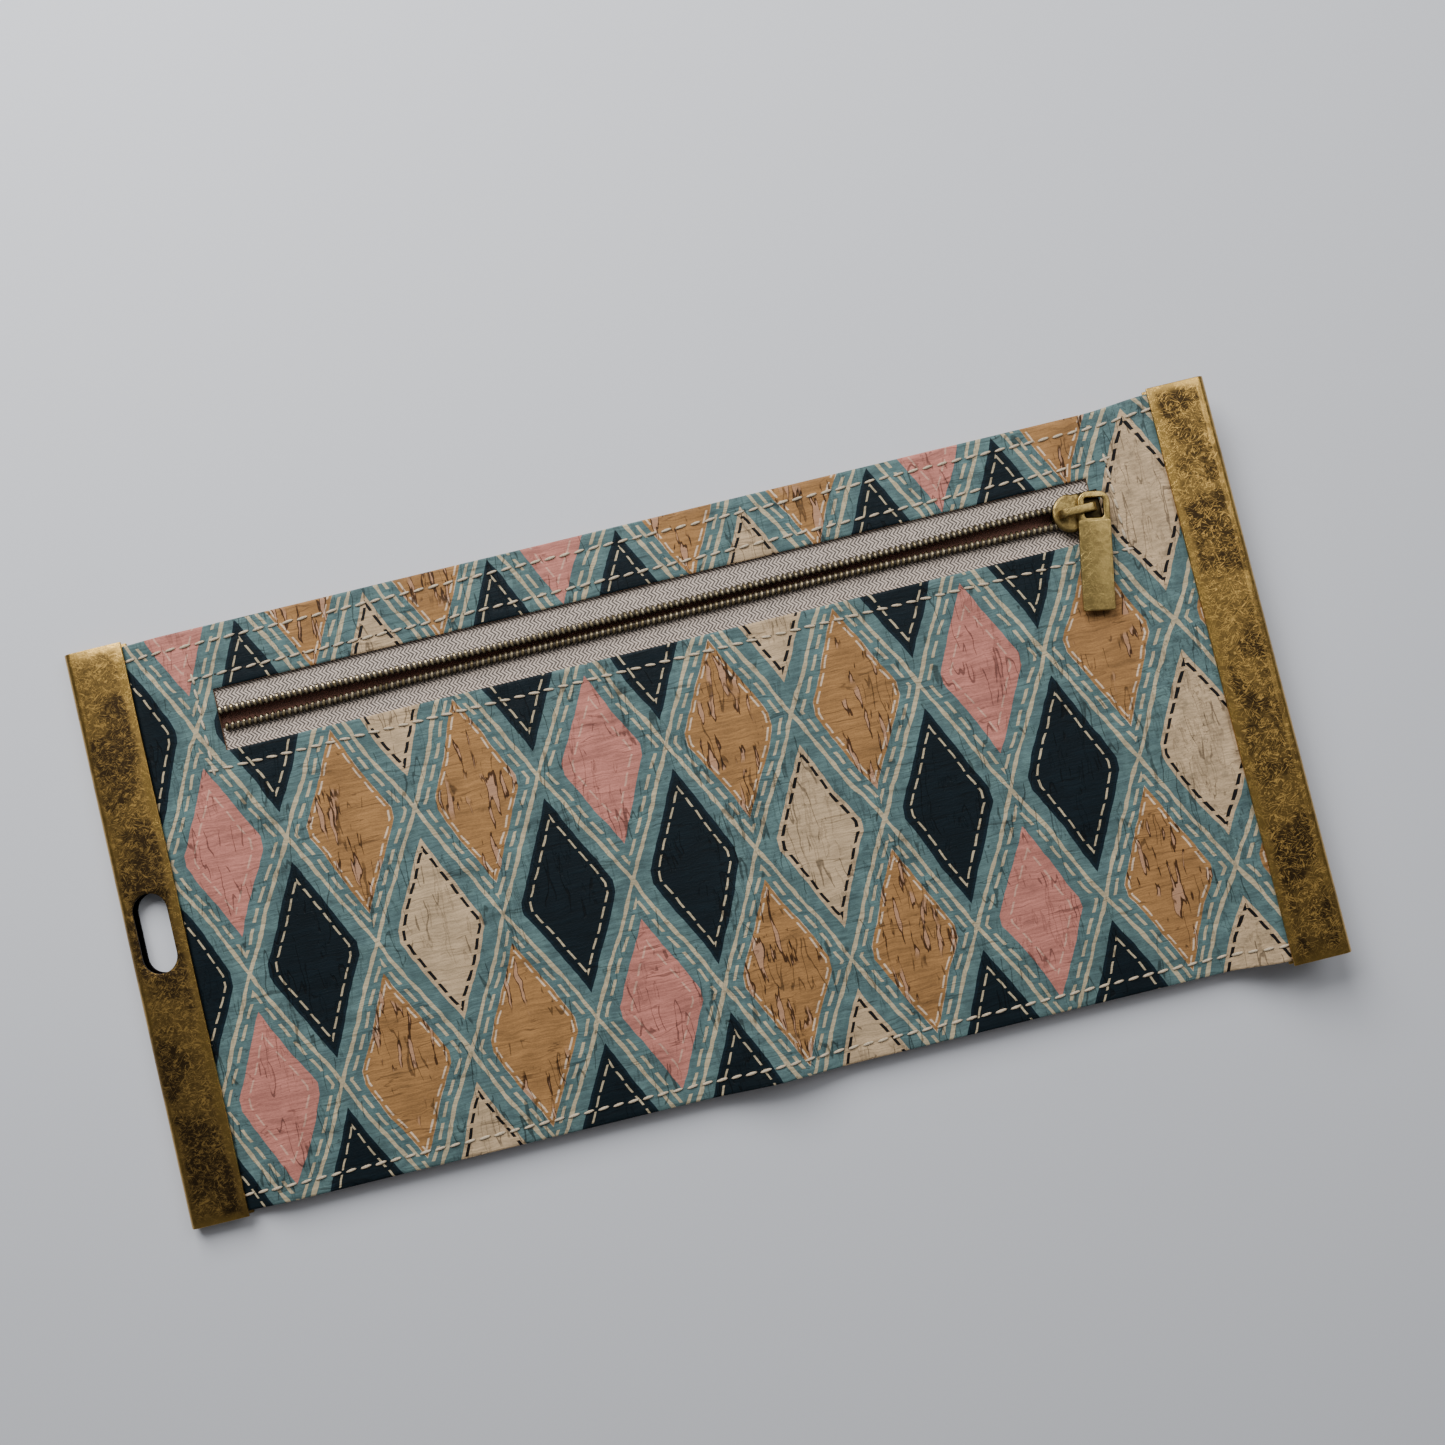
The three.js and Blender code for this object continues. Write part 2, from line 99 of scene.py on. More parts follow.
# Bars and latch
BAR_WALL = 0.55 * MM
BAR_ROUND = 0.12 * MM
SLOT_LENGTH = 14.4 * MM
SLOT_W = 6.2 * MM
NOTCH_MARGIN = 0.8 * MM
NOTCH_X = BAR_MIDDLE - SLOT_W / 2 - NOTCH_MARGIN
NOTCH_Y = SLOT_LENGTH / 2 + NOTCH_MARGIN
BUSHING_R = 2.45 * MM
KNOB_T = 1.8 * MM
SHANK_R = 1.2 * MM
HEAD_R = 2 * MM
HEAD_T = 0.5 * MM

# Zip
ZIP_Y = PANEL_HALF - 17 * MM
WINDOW_LEFT = -BAR_INNER + 14.25 * MM
WINDOW_RIGHT = BAR_INNER - 12.65 * MM
WINDOW_HALF = 5.6 * MM
WINDOW = (WINDOW_LEFT, WINDOW_RIGHT, ZIP_Y - WINDOW_HALF, ZIP_Y + WINDOW_HALF)
TAPE_REACH = 12.5 * MM
ROW_GAP = 1.4 * MM
ROW_W = 1.7 * MM
ROW_MIDDLE = (ROW_GAP + ROW_W) / 2
ROW_WANDER = 0.55 * MM
COIL_PITCH = 1.04 * MM
COIL_WIRE = 0.32 * MM
COIL_CORE = 0.42 * MM
COIL_LEAN = math.radians(12)

# Seams
SEAM_LEFT = 3.0 * MM
SEAM_RIGHT = 4.0 * MM
SEAM_TOP = 2.5 * MM
SEAM_BOTTOM = 3.0 * MM
SEAM_DIP = 0.11 * MM
SEAM_DIP_W = 0.7 * MM
SEAM_END = BAR_INNER - 0.6 * MM
STITCH_LEAN = math.radians(7)
WINDOW_SEAM = (WINDOW_LEFT - SEAM_LEFT, WINDOW_RIGHT + SEAM_RIGHT,
               WINDOW[2] - SEAM_BOTTOM, WINDOW[3] + SEAM_TOP)

# Levels, from the table up
OUTER_LEVEL = SEAM_GAP * 2 + INNER_T + LINING_T + POCKET_DEPTH
CLAMP_INNER = (BAR_T - INNER_T - SEAM_GAP - CORK_T) / 2
CLAMP_OUTER = CLAMP_INNER + INNER_T + SEAM_GAP
TAPE_TOP = OUTER_LEVEL - SEAM_GAP
COIL_BOTTOM = COIL_LOW.z
COIL_TOP = COIL_HIGH.z
RUN_GAP = 0.25 * MM
PLATE_T = 0.6 * MM
PLATE_LOW = COIL_TOP + RUN_GAP
PLATE_TOP = PLATE_LOW + PLATE_T
LOWER_PLATE = TAPE_TOP - TAPE_T - RUN_GAP - PLATE_T

# Slider and bridge, from the slider's middle
SLIDER_X = (SLIDER_LOW.x + SLIDER_HIGH.x) / 2
SLIDER_HALF = (SLIDER_HIGH.x - SLIDER_LOW.x) / 2
# The upper plate reaches past the part's end, so that its painted shade shows through the pull's ring
TAIL_REACH = 0.8 * MM
TAIL_HALF_W = 3.2 * MM
SHOULDER_HALF_W = 3.5 * MM
NOSE_LENGTH = 3.4 * MM
WAIST_X = 0.6 * MM
PLATE_DOME = 0.75 * MM
LOWER_INSET = 0.3 * MM
FLANGE_BACK = SLIDER_HALF - 0.5 * MM
ROOTED = 0.2 * MM
WEDGE_BACK = 3.4 * MM
WEDGE_HALF_W = 0.45 * MM
BRIDGE_LEFT = -3.05 * MM
BRIDGE_LEG = 3.21 * MM
BRIDGE_T = 0.8 * MM
BRIDGE_HALF_W = 0.75 * MM

# Pull
PULL_PLAY = 0.35 * MM
PULL_T = 0.7 * MM
PULL_TURN = math.radians(-10.4)
PULL_TILT = math.radians(2.2)
RING_HALF = 2.85 * MM
RING_R = 2 * MM
EYE_HALF = 1.7 * MM
TAB_LENGTH = 15.6 * MM

# Print: a lattice of diamonds, in millimetres
CELL_W = 23.07
CELL_H = 44.2
CELL_X = -72.5
CELL_Y = -10.9

# Camera, from the bars' corners in the photograph
CAMERA_PLACE = Vector((4.66, 1.60, 260.12)) * MM
CAMERA_RIGHT = Vector((0.97174, -0.23604, 0.0002))
CAMERA_DOWN = Vector((-0.2358, -0.9708, -0.04411))
CAMERA_FORWARD = Vector((0.01061, 0.04281, -0.99903))
CAMERA_LENS = 36.05

LENGTH = {"unit": "LENGTH", "precision": 5}
COLOUR = {"subtype": "COLOR", "size": 3, "min": 0, "max": 1}


class WalletSettings(bpy.types.PropertyGroup):
    """Sizes and colours that a user would change"""
    stitch_pitch: bpy.props.FloatProperty(
        name="Stitch pitch", description="Length from one stitch to the next",
        default=2.65 * MM, **LENGTH)
    thread_thickness: bpy.props.FloatProperty(
        name="Thread thickness", description="Thickness of the sewing thread",
        default=0.60 * MM, **LENGTH)
    stitch_inset: bpy.props.FloatProperty(
        name="Stitch inset", description="From the panel's edge to its line of stitches",
        default=2.8 * MM, **LENGTH)
    ripple: bpy.props.FloatProperty(
        name="Ripple", description="Height of the soft waves in the cork cloth",
        default=0.16 * MM, **LENGTH)
    teal: bpy.props.FloatVectorProperty(
        name="Ground", description="Ground colour of the print",
        default=(0.081, 0.138, 0.142), **COLOUR)
    teal_light: bpy.props.FloatVectorProperty(
        name="Washed ground", description="Ground colour where the print is thinner",
        default=(0.110, 0.187, 0.185), **COLOUR)
    navy: bpy.props.FloatVectorProperty(
        name="Dark diamonds", description="Colour of the dark diamonds",
        default=(0.003, 0.0085, 0.0125), **COLOUR)
    pink: bpy.props.FloatVectorProperty(
        name="Pink diamonds", description="Colour of the pink diamonds",
        default=(0.49, 0.19, 0.152), **COLOUR)
    cork: bpy.props.FloatVectorProperty(
        name="Bare cork", description="Colour of the unprinted cork",
        default=(0.33, 0.170, 0.063), **COLOUR)
    cream: bpy.props.FloatVectorProperty(
        name="Cream", description="Colour of the cream diamonds",
        default=(0.51, 0.37, 0.225), **COLOUR)
    line: bpy.props.FloatVectorProperty(
        name="Drawn lines", description="Colour of the lines and dashes between the diamonds",
        default=(0.48, 0.40, 0.26), **COLOUR)
    pale_dash: bpy.props.FloatVectorProperty(
        name="Pale dashes", description="Colour of the dashes on the bare and pink diamonds",
        default=(0.74, 0.58, 0.43), **COLOUR)
    thread: bpy.props.FloatVectorProperty(
        name="Thread", description="Colour of the sewing thread",
        default=(0.60, 0.49, 0.35), **COLOUR)
    tape: bpy.props.FloatVectorProperty(
        name="Zip tape", description="Colour of the zip tapes",
        default=(0.66, 0.55, 0.47), **COLOUR)
    lining: bpy.props.FloatVectorProperty(
        name="Lining", description="Colour of the pocket lining",
        default=(0.30, 0.14, 0.10), **COLOUR)
    inside: bpy.props.FloatVectorProperty(
        name="Inside cloth", description="Colour of the inner panel and card pockets",
        default=(0.42, 0.27, 0.14), **COLOUR)
    brass: bpy.props.FloatVectorProperty(
        name="Brass", description="Colour of the bright brass",
        default=(0.45, 0.28, 0.078), **COLOUR)
    small_brass: bpy.props.FloatVectorProperty(
        name="Zip brass", description="Colour of the brass of the slider, pull and latch",
        default=(0.42, 0.30, 0.105), **COLOUR)
    patina: bpy.props.FloatVectorProperty(
        name="Patina", description="Colour of the darkened brass",
        default=(0.045, 0.029, 0.015), **COLOUR)


def settings():
    return bpy.context.scene.wallet


# How the cloth lies: the same rules as the solids, worked out at any place

def clamp(t):
    return min(1.0, max(0.0, t))


def ease(t):
    t = clamp(t)
    return t * t * (3 - 2 * t)


def toward_left(x):
    return ease((-BAR_INNER + BAR_EASE_LEFT - x) / BAR_EASE_LEFT)


def toward_right(x):
    return ease((x - BAR_INNER + BAR_EASE_RIGHT) / BAR_EASE_RIGHT)


def hump(x, y):
    across = 1 - abs(x - FOLD_X) / HUMP_HALF_W
    along = clamp((CARD_LIPS[0] - y) / (CARD_LIPS[0] + PANEL_HALF))
    return HUMP_RISE * ease(across) * along


def card_stack(y):
    first, second, third = CARD_LIPS
    pitch = CARD_T + SEAM_GAP
    if y >= first:
        return pitch * clamp(1 - (y - first) / CARD_LEAD)
    if y >= second:
        return pitch * (1 + (first - y) / (first - second))
    if y >= third:
        return pitch * (2 + (second - y) / (second - third))
    return pitch * 3


def between(x, level, left, right):
    a, b = toward_left(x), toward_right(x)
    return level * (1 - a - b) + left * a + right * b


def inner_bottom(x, y):
    return between(x, SEAM_GAP + card_stack(y) + hump(x, y), CLAMP_INNER, RAISE + CLAMP_INNER)


def outer_bottom(x, y):
    return between(x, OUTER_LEVEL + hump(x, y), CLAMP_OUTER, RAISE + CLAMP_OUTER)


def inside_face(x, y):
    """The lowest cloth at a place: a card pocket or the inner panel"""
    in_pocket = CARD_FOLD_GAP < abs(x - FOLD_X) and abs(x) < INSET_END
    layers = sum(y < lip for lip in CARD_LIPS) if in_pocket else 0
    return inner_bottom(x, y) - layers * (CARD_T + SEAM_GAP)


def beyond(x, y, left, right, low, high):
    """How far a place lies outside a rectangle; less than 0 inside"""
    dx = max(left - x, x - right)
    dy = max(low - y, y - high)
    return math.hypot(dx, dy) if dx > 0 and dy > 0 else max(dx, dy)


def waves(x, y):
    """Slow waves in the cork, none at the bars and the window"""
    free = 1 - max(toward_left(x), toward_right(x))
    inland = clamp(beyond(x, y, *WINDOW) / WAVE_FADE)
    return settings().ripple * inland * free * noise.noise(Vector((x / WAVE_X, y / WAVE_Y, 0.3)))


def cork_bottom(x, y):
    return outer_bottom(x, y) + waves(x, y)


def cork_top(x, y):
    """Top of the cork: soft edges, a dip along the seams and slow waves"""
    edge = min(PANEL_HALF - abs(y), beyond(x, y, *WINDOW))
    soft = EDGE_DROP * max(0.0, 1 - edge / EDGE_W) ** 2
    long_seam = abs(PANEL_HALF - abs(y) - settings().stitch_inset)
    seam = min(long_seam, abs(beyond(x, y, *WINDOW_SEAM)))
    dip = SEAM_DIP * math.exp(-(seam / SEAM_DIP_W) ** 2)
    return cork_bottom(x, y) + CORK_T - soft - dip


def notched(x, y):
    """Where the cloth is cut away for the slot and the latch"""
    return abs(x) > NOTCH_X and abs(y) < NOTCH_Y


# Meshes

def new_piece(name, mesh, body, finish=None, node=None):
    """An object at the origin that rides on a body, in place of a node where one is given"""
    if finish:
        mesh.materials.clear()
        mesh.materials.append(material(finish))
    piece = bpy.data.objects.new(name, mesh)
    bpy.context.scene.collection.objects.link(piece)
    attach(piece, body)
    if node:
        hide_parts(node)
    return piece


def smooth(mesh, sharp=SHARP):
    mesh.shade_smooth()
    mesh.set_sharp_from_angle(angle=sharp)
    return mesh


def mesh_from(name, points, faces):
    mesh = bpy.data.meshes.new(name)
    mesh.from_pydata(points, [], faces)
    mesh.validate()
    mesh.update()
    return smooth(mesh)


def tidy(mesh, sharp=SHARP):
    """Merges doubled points and turns every face outward"""
    work = bmesh.new()
    work.from_mesh(mesh)
    bmesh.ops.remove_doubles(work, verts=work.verts, dist=0.004 * MM)
    bmesh.ops.dissolve_degenerate(work, edges=work.edges, dist=0.001 * MM)
    bmesh.ops.recalc_face_normals(work, faces=work.faces)
    work.to_mesh(mesh)
    work.free()
    return smooth(mesh, sharp)


def loft(name, rings):
    """A closed skin over rings of points, with a cap at both ends"""
    count = len(rings[0])
    points = [point for ring in rings for point in ring]
    faces = []
    for start in range(0, len(points) - count, count):
        for i in range(count):
            j = (i + 1) % count
            faces.append([start + i, start + j, start + count + j, start + count + i])
    faces.append(list(reversed(range(count))))
    faces.append([len(points) - count + i for i in range(count)])
    return tidy(mesh_from(name, points, faces))


def spread(low, high, step):
    count = max(1, round((high - low) / step))
    return [low + (high - low) * i / count for i in range(count + 1)]


def edge_lines(*places):
    """Extra grid lines close to edges, so that these can be rounded"""
    return [place + step for place in places for step in EDGE_STEPS]


def merged(*groups):
    """Grid lines of several groups in order, without close neighbours"""
    kept = []
    for value in sorted(value for group in groups for value in group):
        if not kept or value - kept[-1] > 0.04 * MM:
            kept.append(value)
    return kept


def snapped(values, fixed):
    """Grid lines with the fixed ones kept exactly and close neighbours dropped"""
    kept = [v for v in values if all(abs(v - f) > 0.05 * MM or v == f for f in fixed)]
    return sorted(set(kept) | set(fixed))


def cloth_mesh(name, xs, ys, filled, bottom, top):
    """A closed sheet over the grid cells that the test picks"""
    at, points, faces = {}, [], []
    columns, rows = len(xs) - 1, len(ys) - 1
    solid = {(i, j) for i in range(columns) for j in range(rows)
             if filled((xs[i] + xs[i + 1]) / 2, (ys[j] + ys[j + 1]) / 2)}

    def vertex(corner, surface):
        key = (corner, surface)
        if key not in at:
            at[key] = len(points)
            x, y = xs[corner[0]], ys[corner[1]]
            points.append((x, y, surface(x, y)))
        return at[key]

    for i, j in sorted(solid):
        corners = [(i, j), (i + 1, j), (i + 1, j + 1), (i, j + 1)]
        faces.append([vertex(corner, top) for corner in corners])
        faces.append([vertex(corner, bottom) for corner in reversed(corners)])
        for k, beside in enumerate([(i, j - 1), (i + 1, j), (i, j + 1), (i - 1, j)]):
            if beside not in solid:
                start, end = corners[k], corners[(k + 1) % 4]
                faces.append([vertex(start, bottom), vertex(end, bottom),
                              vertex(end, top), vertex(start, top)])
    return mesh_from(name, points, faces)


def carrier_of(data):
    """An object that holds a mesh or curve while it is worked on"""
    carrier = bpy.data.objects.new("carrier", data)
    bpy.context.scene.collection.objects.link(carrier)
    return carrier


def plain_mesh(carrier, data_list=bpy.data.meshes):
    """What the carrier shows, as a mesh of its own; the carrier goes"""
    graph = bpy.context.evaluated_depsgraph_get()
    mesh = bpy.data.meshes.new_from_object(carrier.evaluated_get(graph))
    data = carrier.data
    bpy.data.objects.remove(carrier)
    data_list.remove(data)
    return mesh


def round_edges(carrier, width, segments, angle):
    """Rounds the edges that turn by more than the angle in degrees"""
    edges = carrier.modifiers.new("edges", "BEVEL")
    edges.width = width
    edges.segments = segments
    edges.limit_method = "ANGLE"
    edges.angle_limit = math.radians(angle)


def raised(outlines, low, high, bevel):
    """Closed outlines in X and Y, the first with the rest as holes, raised with round edges"""
    curve = bpy.data.curves.new("outline", "CURVE")
    curve.dimensions = "2D"
    curve.fill_mode = "BOTH"
    curve.extrude = (high - low) / 2 - bevel
    curve.bevel_depth = bevel
    curve.bevel_resolution = 2
    curve.offset = -bevel
    for outline in outlines:
        spline = curve.splines.new("POLY")
        spline.points.add(len(outline) - 1)
        for point, (x, y) in zip(spline.points, outline):
            point.co = (x, y, 0, 1)
        spline.use_cyclic_u = True
    mesh = plain_mesh(carrier_of(curve), bpy.data.curves)
    mesh.transform(Matrix.Translation((0, 0, (low + high) / 2)))
    return tidy(mesh)


def join_meshes(name, meshes, finishes=()):
    """One mesh of several; with finishes, the mesh at each place in the list takes that finish"""
    work = bmesh.new()
    for place, mesh in enumerate(meshes):
        start = len(work.faces)
        work.from_mesh(mesh)
        bpy.data.meshes.remove(mesh)
        if finishes:
            work.faces.ensure_lookup_table()
            for face in work.faces[start:]:
                face.material_index = place
    joined = bpy.data.meshes.new(name)
    work.to_mesh(joined)
    work.free()
    for finish in finishes:
        joined.materials.append(material(finish))
    return smooth(joined)


# Outlines

def arc(cx, cy, r, start, end, count):
    """Points on an arc between two angles, in quarter turns"""
    turns = [QUARTER * (start + (end - start) * i / count) for i in range(count + 1)]
    return [(cx + r * math.cos(turn), cy + r * math.sin(turn)) for turn in turns]


def circle(r, count=32):
    return arc(0, 0, r, 0, 4 - 4 / count, count - 1)


def round_rect(x_low, x_high, y_low, y_high, r, count=6):
    return (arc(x_high - r, y_low + r, r, -1, 0, count)
            + arc(x_high - r, y_high - r, r, 0, 1, count)
            + arc(x_low + r, y_high - r, r, 1, 2, count)
            + arc(x_low + r, y_low + r, r, 2, 3, count))


def stadium(length, width):
    r = width / 2
    straight = length / 2 - r
    return arc(0, straight, r, 0, 2, 16) + arc(0, -straight, r, 2, 4, 16)


def slider_outline(inset, back):
    """Plan of the slider: round shoulders to the left, a narrower tail to the right"""
    tail, shoulder = TAIL_HALF_W - inset, SHOULDER_HALF_W - inset
    hip = tail + 0.05 * MM
    centre = -SLIDER_HALF + inset + NOSE_LENGTH
    nose = [(centre + x * NOSE_LENGTH, y * shoulder) for x, y in arc(0, 0, 1, 1, 3, 24)]
    return ([(back, -tail), (back, tail), (WAIST_X, tail), (0, hip)] + nose
            + [(0, -hip), (WAIST_X, -tail)])


# Node trees

class Value:
    """A socket that can stand in a formula, like a plain number"""

    def __init__(self, graph, socket):
        self.graph, self.socket = graph, socket

    def __add__(self, other):
        return self.graph.math("ADD", self, other)

    def __sub__(self, other):
        return self.graph.math("SUBTRACT", self, other)

    def __rsub__(self, other):
        return self.graph.math("SUBTRACT", other, self)

    def __mul__(self, other):
        return self.graph.math("MULTIPLY", self, other)

    def __truediv__(self, other):
        return self.graph.math("DIVIDE", self, other)

    def __abs__(self):
        return self.graph.math("ABSOLUTE", self)

    __radd__, __rmul__ = __add__, __mul__


def feed(target, value):
    """Links a socket to another one, or gives it a plain value"""
    value = value.socket if isinstance(value, Value) else value
    if isinstance(value, bpy.types.NodeSocket):
        target.id_data.links.new(value, target)
    else:
        target.default_value = value


def add_node(tree, kind, inputs=(), **values):
    """A node with its settings; its inputs go by name or place"""
    node = tree.nodes.new(kind)
    for key, value in values.items():
        setattr(node, key, value)
    for key, value in dict(inputs).items():
        feed(node.inputs[key], value)
    return node


class Graph:
    """A material's node tree, written as short calls"""

    def __init__(self, name):
        self.material = bpy.data.materials.new(name)
        self.material.use_nodes = True
        self.tree = self.material.node_tree
        self.tree.nodes.clear()
        self.shader = add_node(self.tree, "ShaderNodeBsdfPrincipled")
        add_node(self.tree, "ShaderNodeOutputMaterial", {"Surface": self.shader.outputs["BSDF"]})
        place = add_node(self.tree, "ShaderNodeTexCoord").outputs["Object"]
        self.place = self.add("ShaderNodeVectorMath", {0: place, "Scale": 1 / MM}, operation="SCALE")

    def add(self, kind, inputs, output=0, **values):
        return Value(self, add_node(self.tree, kind, inputs, **values).outputs[output])

    def math(self, operation, *values):
        return self.add("ShaderNodeMath", enumerate(values), operation=operation)

    def split(self, vector):
        node = add_node(self.tree, "ShaderNodeSeparateXYZ", {0: vector})
        return [Value(self, socket) for socket in node.outputs]

    def stretch(self, vector, x, y, z=1, turn=0.0):
        """A place turned about Z and then scaled"""
        return self.add("ShaderNodeMapping", {
            "Vector": vector, "Scale": (1 / x, 1 / y, 1 / z), "Rotation": (0, 0, turn),
        }, vector_type="TEXTURE")

    def noise(self, vector, scale, detail=2.0, rough=0.5, output="Fac"):
        return self.add("ShaderNodeTexNoise", {
            "Vector": vector, "Scale": scale, "Detail": detail, "Roughness": rough,
        }, output)

    def shift(self, vector, amount, scale, detail, rough=0.5):
        """A place moved by noise, by up to about half the amount"""
        cloud = self.noise(self.place, scale, detail, rough, "Color")
        centred = self.add("ShaderNodeVectorMath", {0: cloud, 1: (0.5, 0.5, 0.5)},
                           operation="SUBTRACT")
        return self.add("ShaderNodeVectorMath", {0: centred, 1: (amount, amount, 0), 2: vector},
                        operation="MULTIPLY_ADD")

    def ramp(self, value, low, high, to_low=0.0, to_high=1.0):
        return self.add("ShaderNodeMapRange", {
            "Value": value, "From Min": low, "From Max": high, "To Min": to_low, "To Max": to_high,
        }, interpolation_type="SMOOTHSTEP")

    def band(self, value, centre, half, soft):
        """1 within half of the centre, with a soft edge"""
        return self.ramp(abs(value - centre), half, half + soft, 1.0, 0.0)

    def mix(self, factor, first, second, blend="MIX"):
        first, second = (entry if isinstance(entry, Value) else (*entry, 1)
                         for entry in (first, second))
        return self.add("ShaderNodeMix", {0: factor, 6: first, 7: second}, 2,
                        data_type="RGBA", blend_type=blend)

    def shade(self, level, colour):
        """A colour made lighter or darker by a number"""
        grey = self.add("ShaderNodeCombineColor", {0: level, 1: level, 2: level})
        return self.mix(1.0, colour, grey, "MULTIPLY")

    def largest(self, first, second):
        return self.math("MAXIMUM", first, second)

    def bump(self, height, distance, strength):
        normal = self.add("ShaderNodeBump", {
            "Distance": distance, "Strength": strength, "Height": height})
        self.set(Normal=normal)

    def set(self, **values):
        for key, value in values.items():
            feed(self.shader.inputs[key.replace("_", " ")], value)


def scaled(colour, factor):
    return tuple(min(1.0, channel * factor) for channel in colour)


# Finishes

def printed_cork(g):
    """The printed cork: a lattice of diamonds, drawn lines, dashes, grain and cork flecks"""
    look = settings()
    drawn = g.shift(g.shift(g.place, 2.0, 0.06, 1.0), 0.4, 0.4, 1.0)
    x, y, _ = g.split(drawn)
    u, v = (x - CELL_X) / CELL_W, (y - CELL_Y) / CELL_H
    column = g.math("ROUND", u)
    across = abs(u - column) * 2.0
    along = abs(v - g.math("ROUND", v)) * 2.0
    lattice = across + along
    uneven = g.noise(g.place, 0.35)
    soft = 0.006

    def one_in_three(number, rest):
        return g.math("COMPARE", g.math("FLOORED_MODULO", number, 3.0), rest, 0.5)

    def dashes(period, share, phase):
        place = y / period + g.math("FLOOR", u * 2.0) * phase
        return g.math("LESS_THAN", g.math("FRACT", place), share)

    is_cream = one_in_three(column, 1.0)
    is_pink = one_in_three(g.math("FLOOR", u) + 1.0, 0.0)

    # Ground with the drawn lines
    line = g.band(lattice, 1.0, g.ramp(uneven, 0.3, 0.7, 0.022, 0.038), soft)
    lane_dash = g.band(lattice, 1.148, 0.022, soft) * dashes(3.5, 0.72, 0.37)
    washed = g.mix(g.ramp(g.noise(g.place, 0.5, 3.0, 0.6), 0.35, 0.7), look.teal, look.teal_light)
    colour = g.mix(g.largest(line, lane_dash), washed, look.line)

    # Dark and cream diamonds, drawn by their depth from the edge
    depth = (0.778 - is_cream * 0.048) - diamond(g, across, along, 1.04, 0.965)
    rim = g.ramp(depth, 0.045, 0.06, 1.0, 0.0) * (0.55 - is_cream)
    fill = g.mix(is_cream, look.navy, look.cream)
    fill = g.mix(g.ramp(rim, 0.0, 1.0), fill, (0.005, 0.016, 0.026))
    from_dash = depth - (0.150 - is_cream * 0.062)
    dash = g.band(from_dash, 0.0, 0.014 + is_cream * 0.010, soft) * dashes(2.6, 0.72, 0.53)
    fill = g.mix(dash, fill, g.mix(is_cream, look.line, (0.006, 0.006, 0.007)))
    colour = g.mix(g.ramp(depth, 0.0, soft), colour, fill)

    # Bare and pink diamonds
    depth = (0.735 - is_pink * 0.055) - diamond(g, 1.0 - across, 1.0 - along, 1.03, 0.97)
    light = g.ramp(depth, 0.0, soft)
    from_dash = depth - (0.072 + is_pink * 0.11)
    dash = g.band(from_dash, 0.0, 0.013, soft) * dashes(2.9, 0.72, 0.61) * (0.8 - is_pink * 0.45)
    outline = g.band(depth, 0.006, 0.004, 0.004) * g.ramp(uneven, 0.42, 0.6) * (0.8 - is_pink)
    fill = g.mix(g.largest(dash, outline), g.mix(is_pink, look.cork, look.pink), look.pale_dash)
    colour = g.mix(light, colour, fill)

    colour, height = cork_surface(g, colour, light * (1.0 - is_pink))
    g.set(Base_Color=colour, Roughness=g.ramp(g.noise(g.place, 1.4), 0.3, 0.7, 0.55, 0.72),
          Specular_IOR_Level=0.16)
    g.bump(height, 0.12 * MM, 0.7)


def diamond(g, across, along, wide, tall):
    """Distance from a diamond's middle, with its side corners cut a little"""
    return g.largest(across * wide + along * tall, across * (wide * 1.07))


def cork_surface(g, colour, bare):
    """Cork grain over a colour: fine lines across, long dark flecks along, mottling"""
    bent = g.shift(g.place, 1.2, 0.25, 2.0)
    grain = g.noise(g.stretch(bent, 0.14, 2.4), 1.0, 4.0, 0.68)
    speck = g.noise(g.place, 3.2, 2.0, 0.7)
    mottle = g.noise(g.place, 0.22, 3.0, 0.55)
    level = g.ramp(grain, 0.3, 0.7, 0.76, 1.17) + g.ramp(speck, 0.3, 0.7, -0.08, 0.08)
    colour = g.shade(level * g.ramp(mottle, 0.3, 0.7, 0.86, 1.10), colour)
    smudge = g.ramp(g.noise(g.stretch(bent, 0.10, 0.42), 1.0, 3.0, 0.6), 0.56, 0.72, 0.0, 0.42)
    colour = g.mix(smudge, colour, (0.36, 0.38, 0.40), "MULTIPLY")

    # Long flecks in clusters, fine hairs along and cracks across
    cluster = g.ramp(g.noise(g.place, 0.10, 2.0, 0.6), 0.46, 0.52)
    streak = g.noise(g.stretch(bent, 0.85, 0.125), 1.0, 2.0, 0.45)
    fleck = g.band(streak, 0.60, 0.016, 0.018) * cluster
    filled = g.ramp(streak, 0.61, 0.63) * cluster
    thin = g.noise(g.stretch(bent, 0.5, 0.075), 1.0, 1.0)
    hair = g.band(thin, 0.5, 0.008, 0.014) * g.ramp(g.noise(g.place, 0.17), 0.50, 0.55)
    wide = g.noise(g.stretch(bent, 0.035, 0.5), 1.0, 2.0, 0.55)
    crack = g.band(wide, 0.5, 0.005, 0.008) * g.ramp(mottle, 0.44, 0.56, 0.35, 1.0)
    colour = g.mix(filled * (bare * 0.55), colour, (0.50, 0.29, 0.20))
    colour = g.mix(fleck * (0.22 + bare * 0.70), colour, (0.11, 0.08, 0.07), "MULTIPLY")
    colour = g.mix(hair * 0.65, colour, (0.12, 0.11, 0.11), "MULTIPLY")
    colour = g.mix(crack * 0.50, colour, (0.14, 0.12, 0.11), "MULTIPLY")
    return colour, (grain * 0.6 + speck * 0.5) - g.largest(fleck, hair) * 0.6


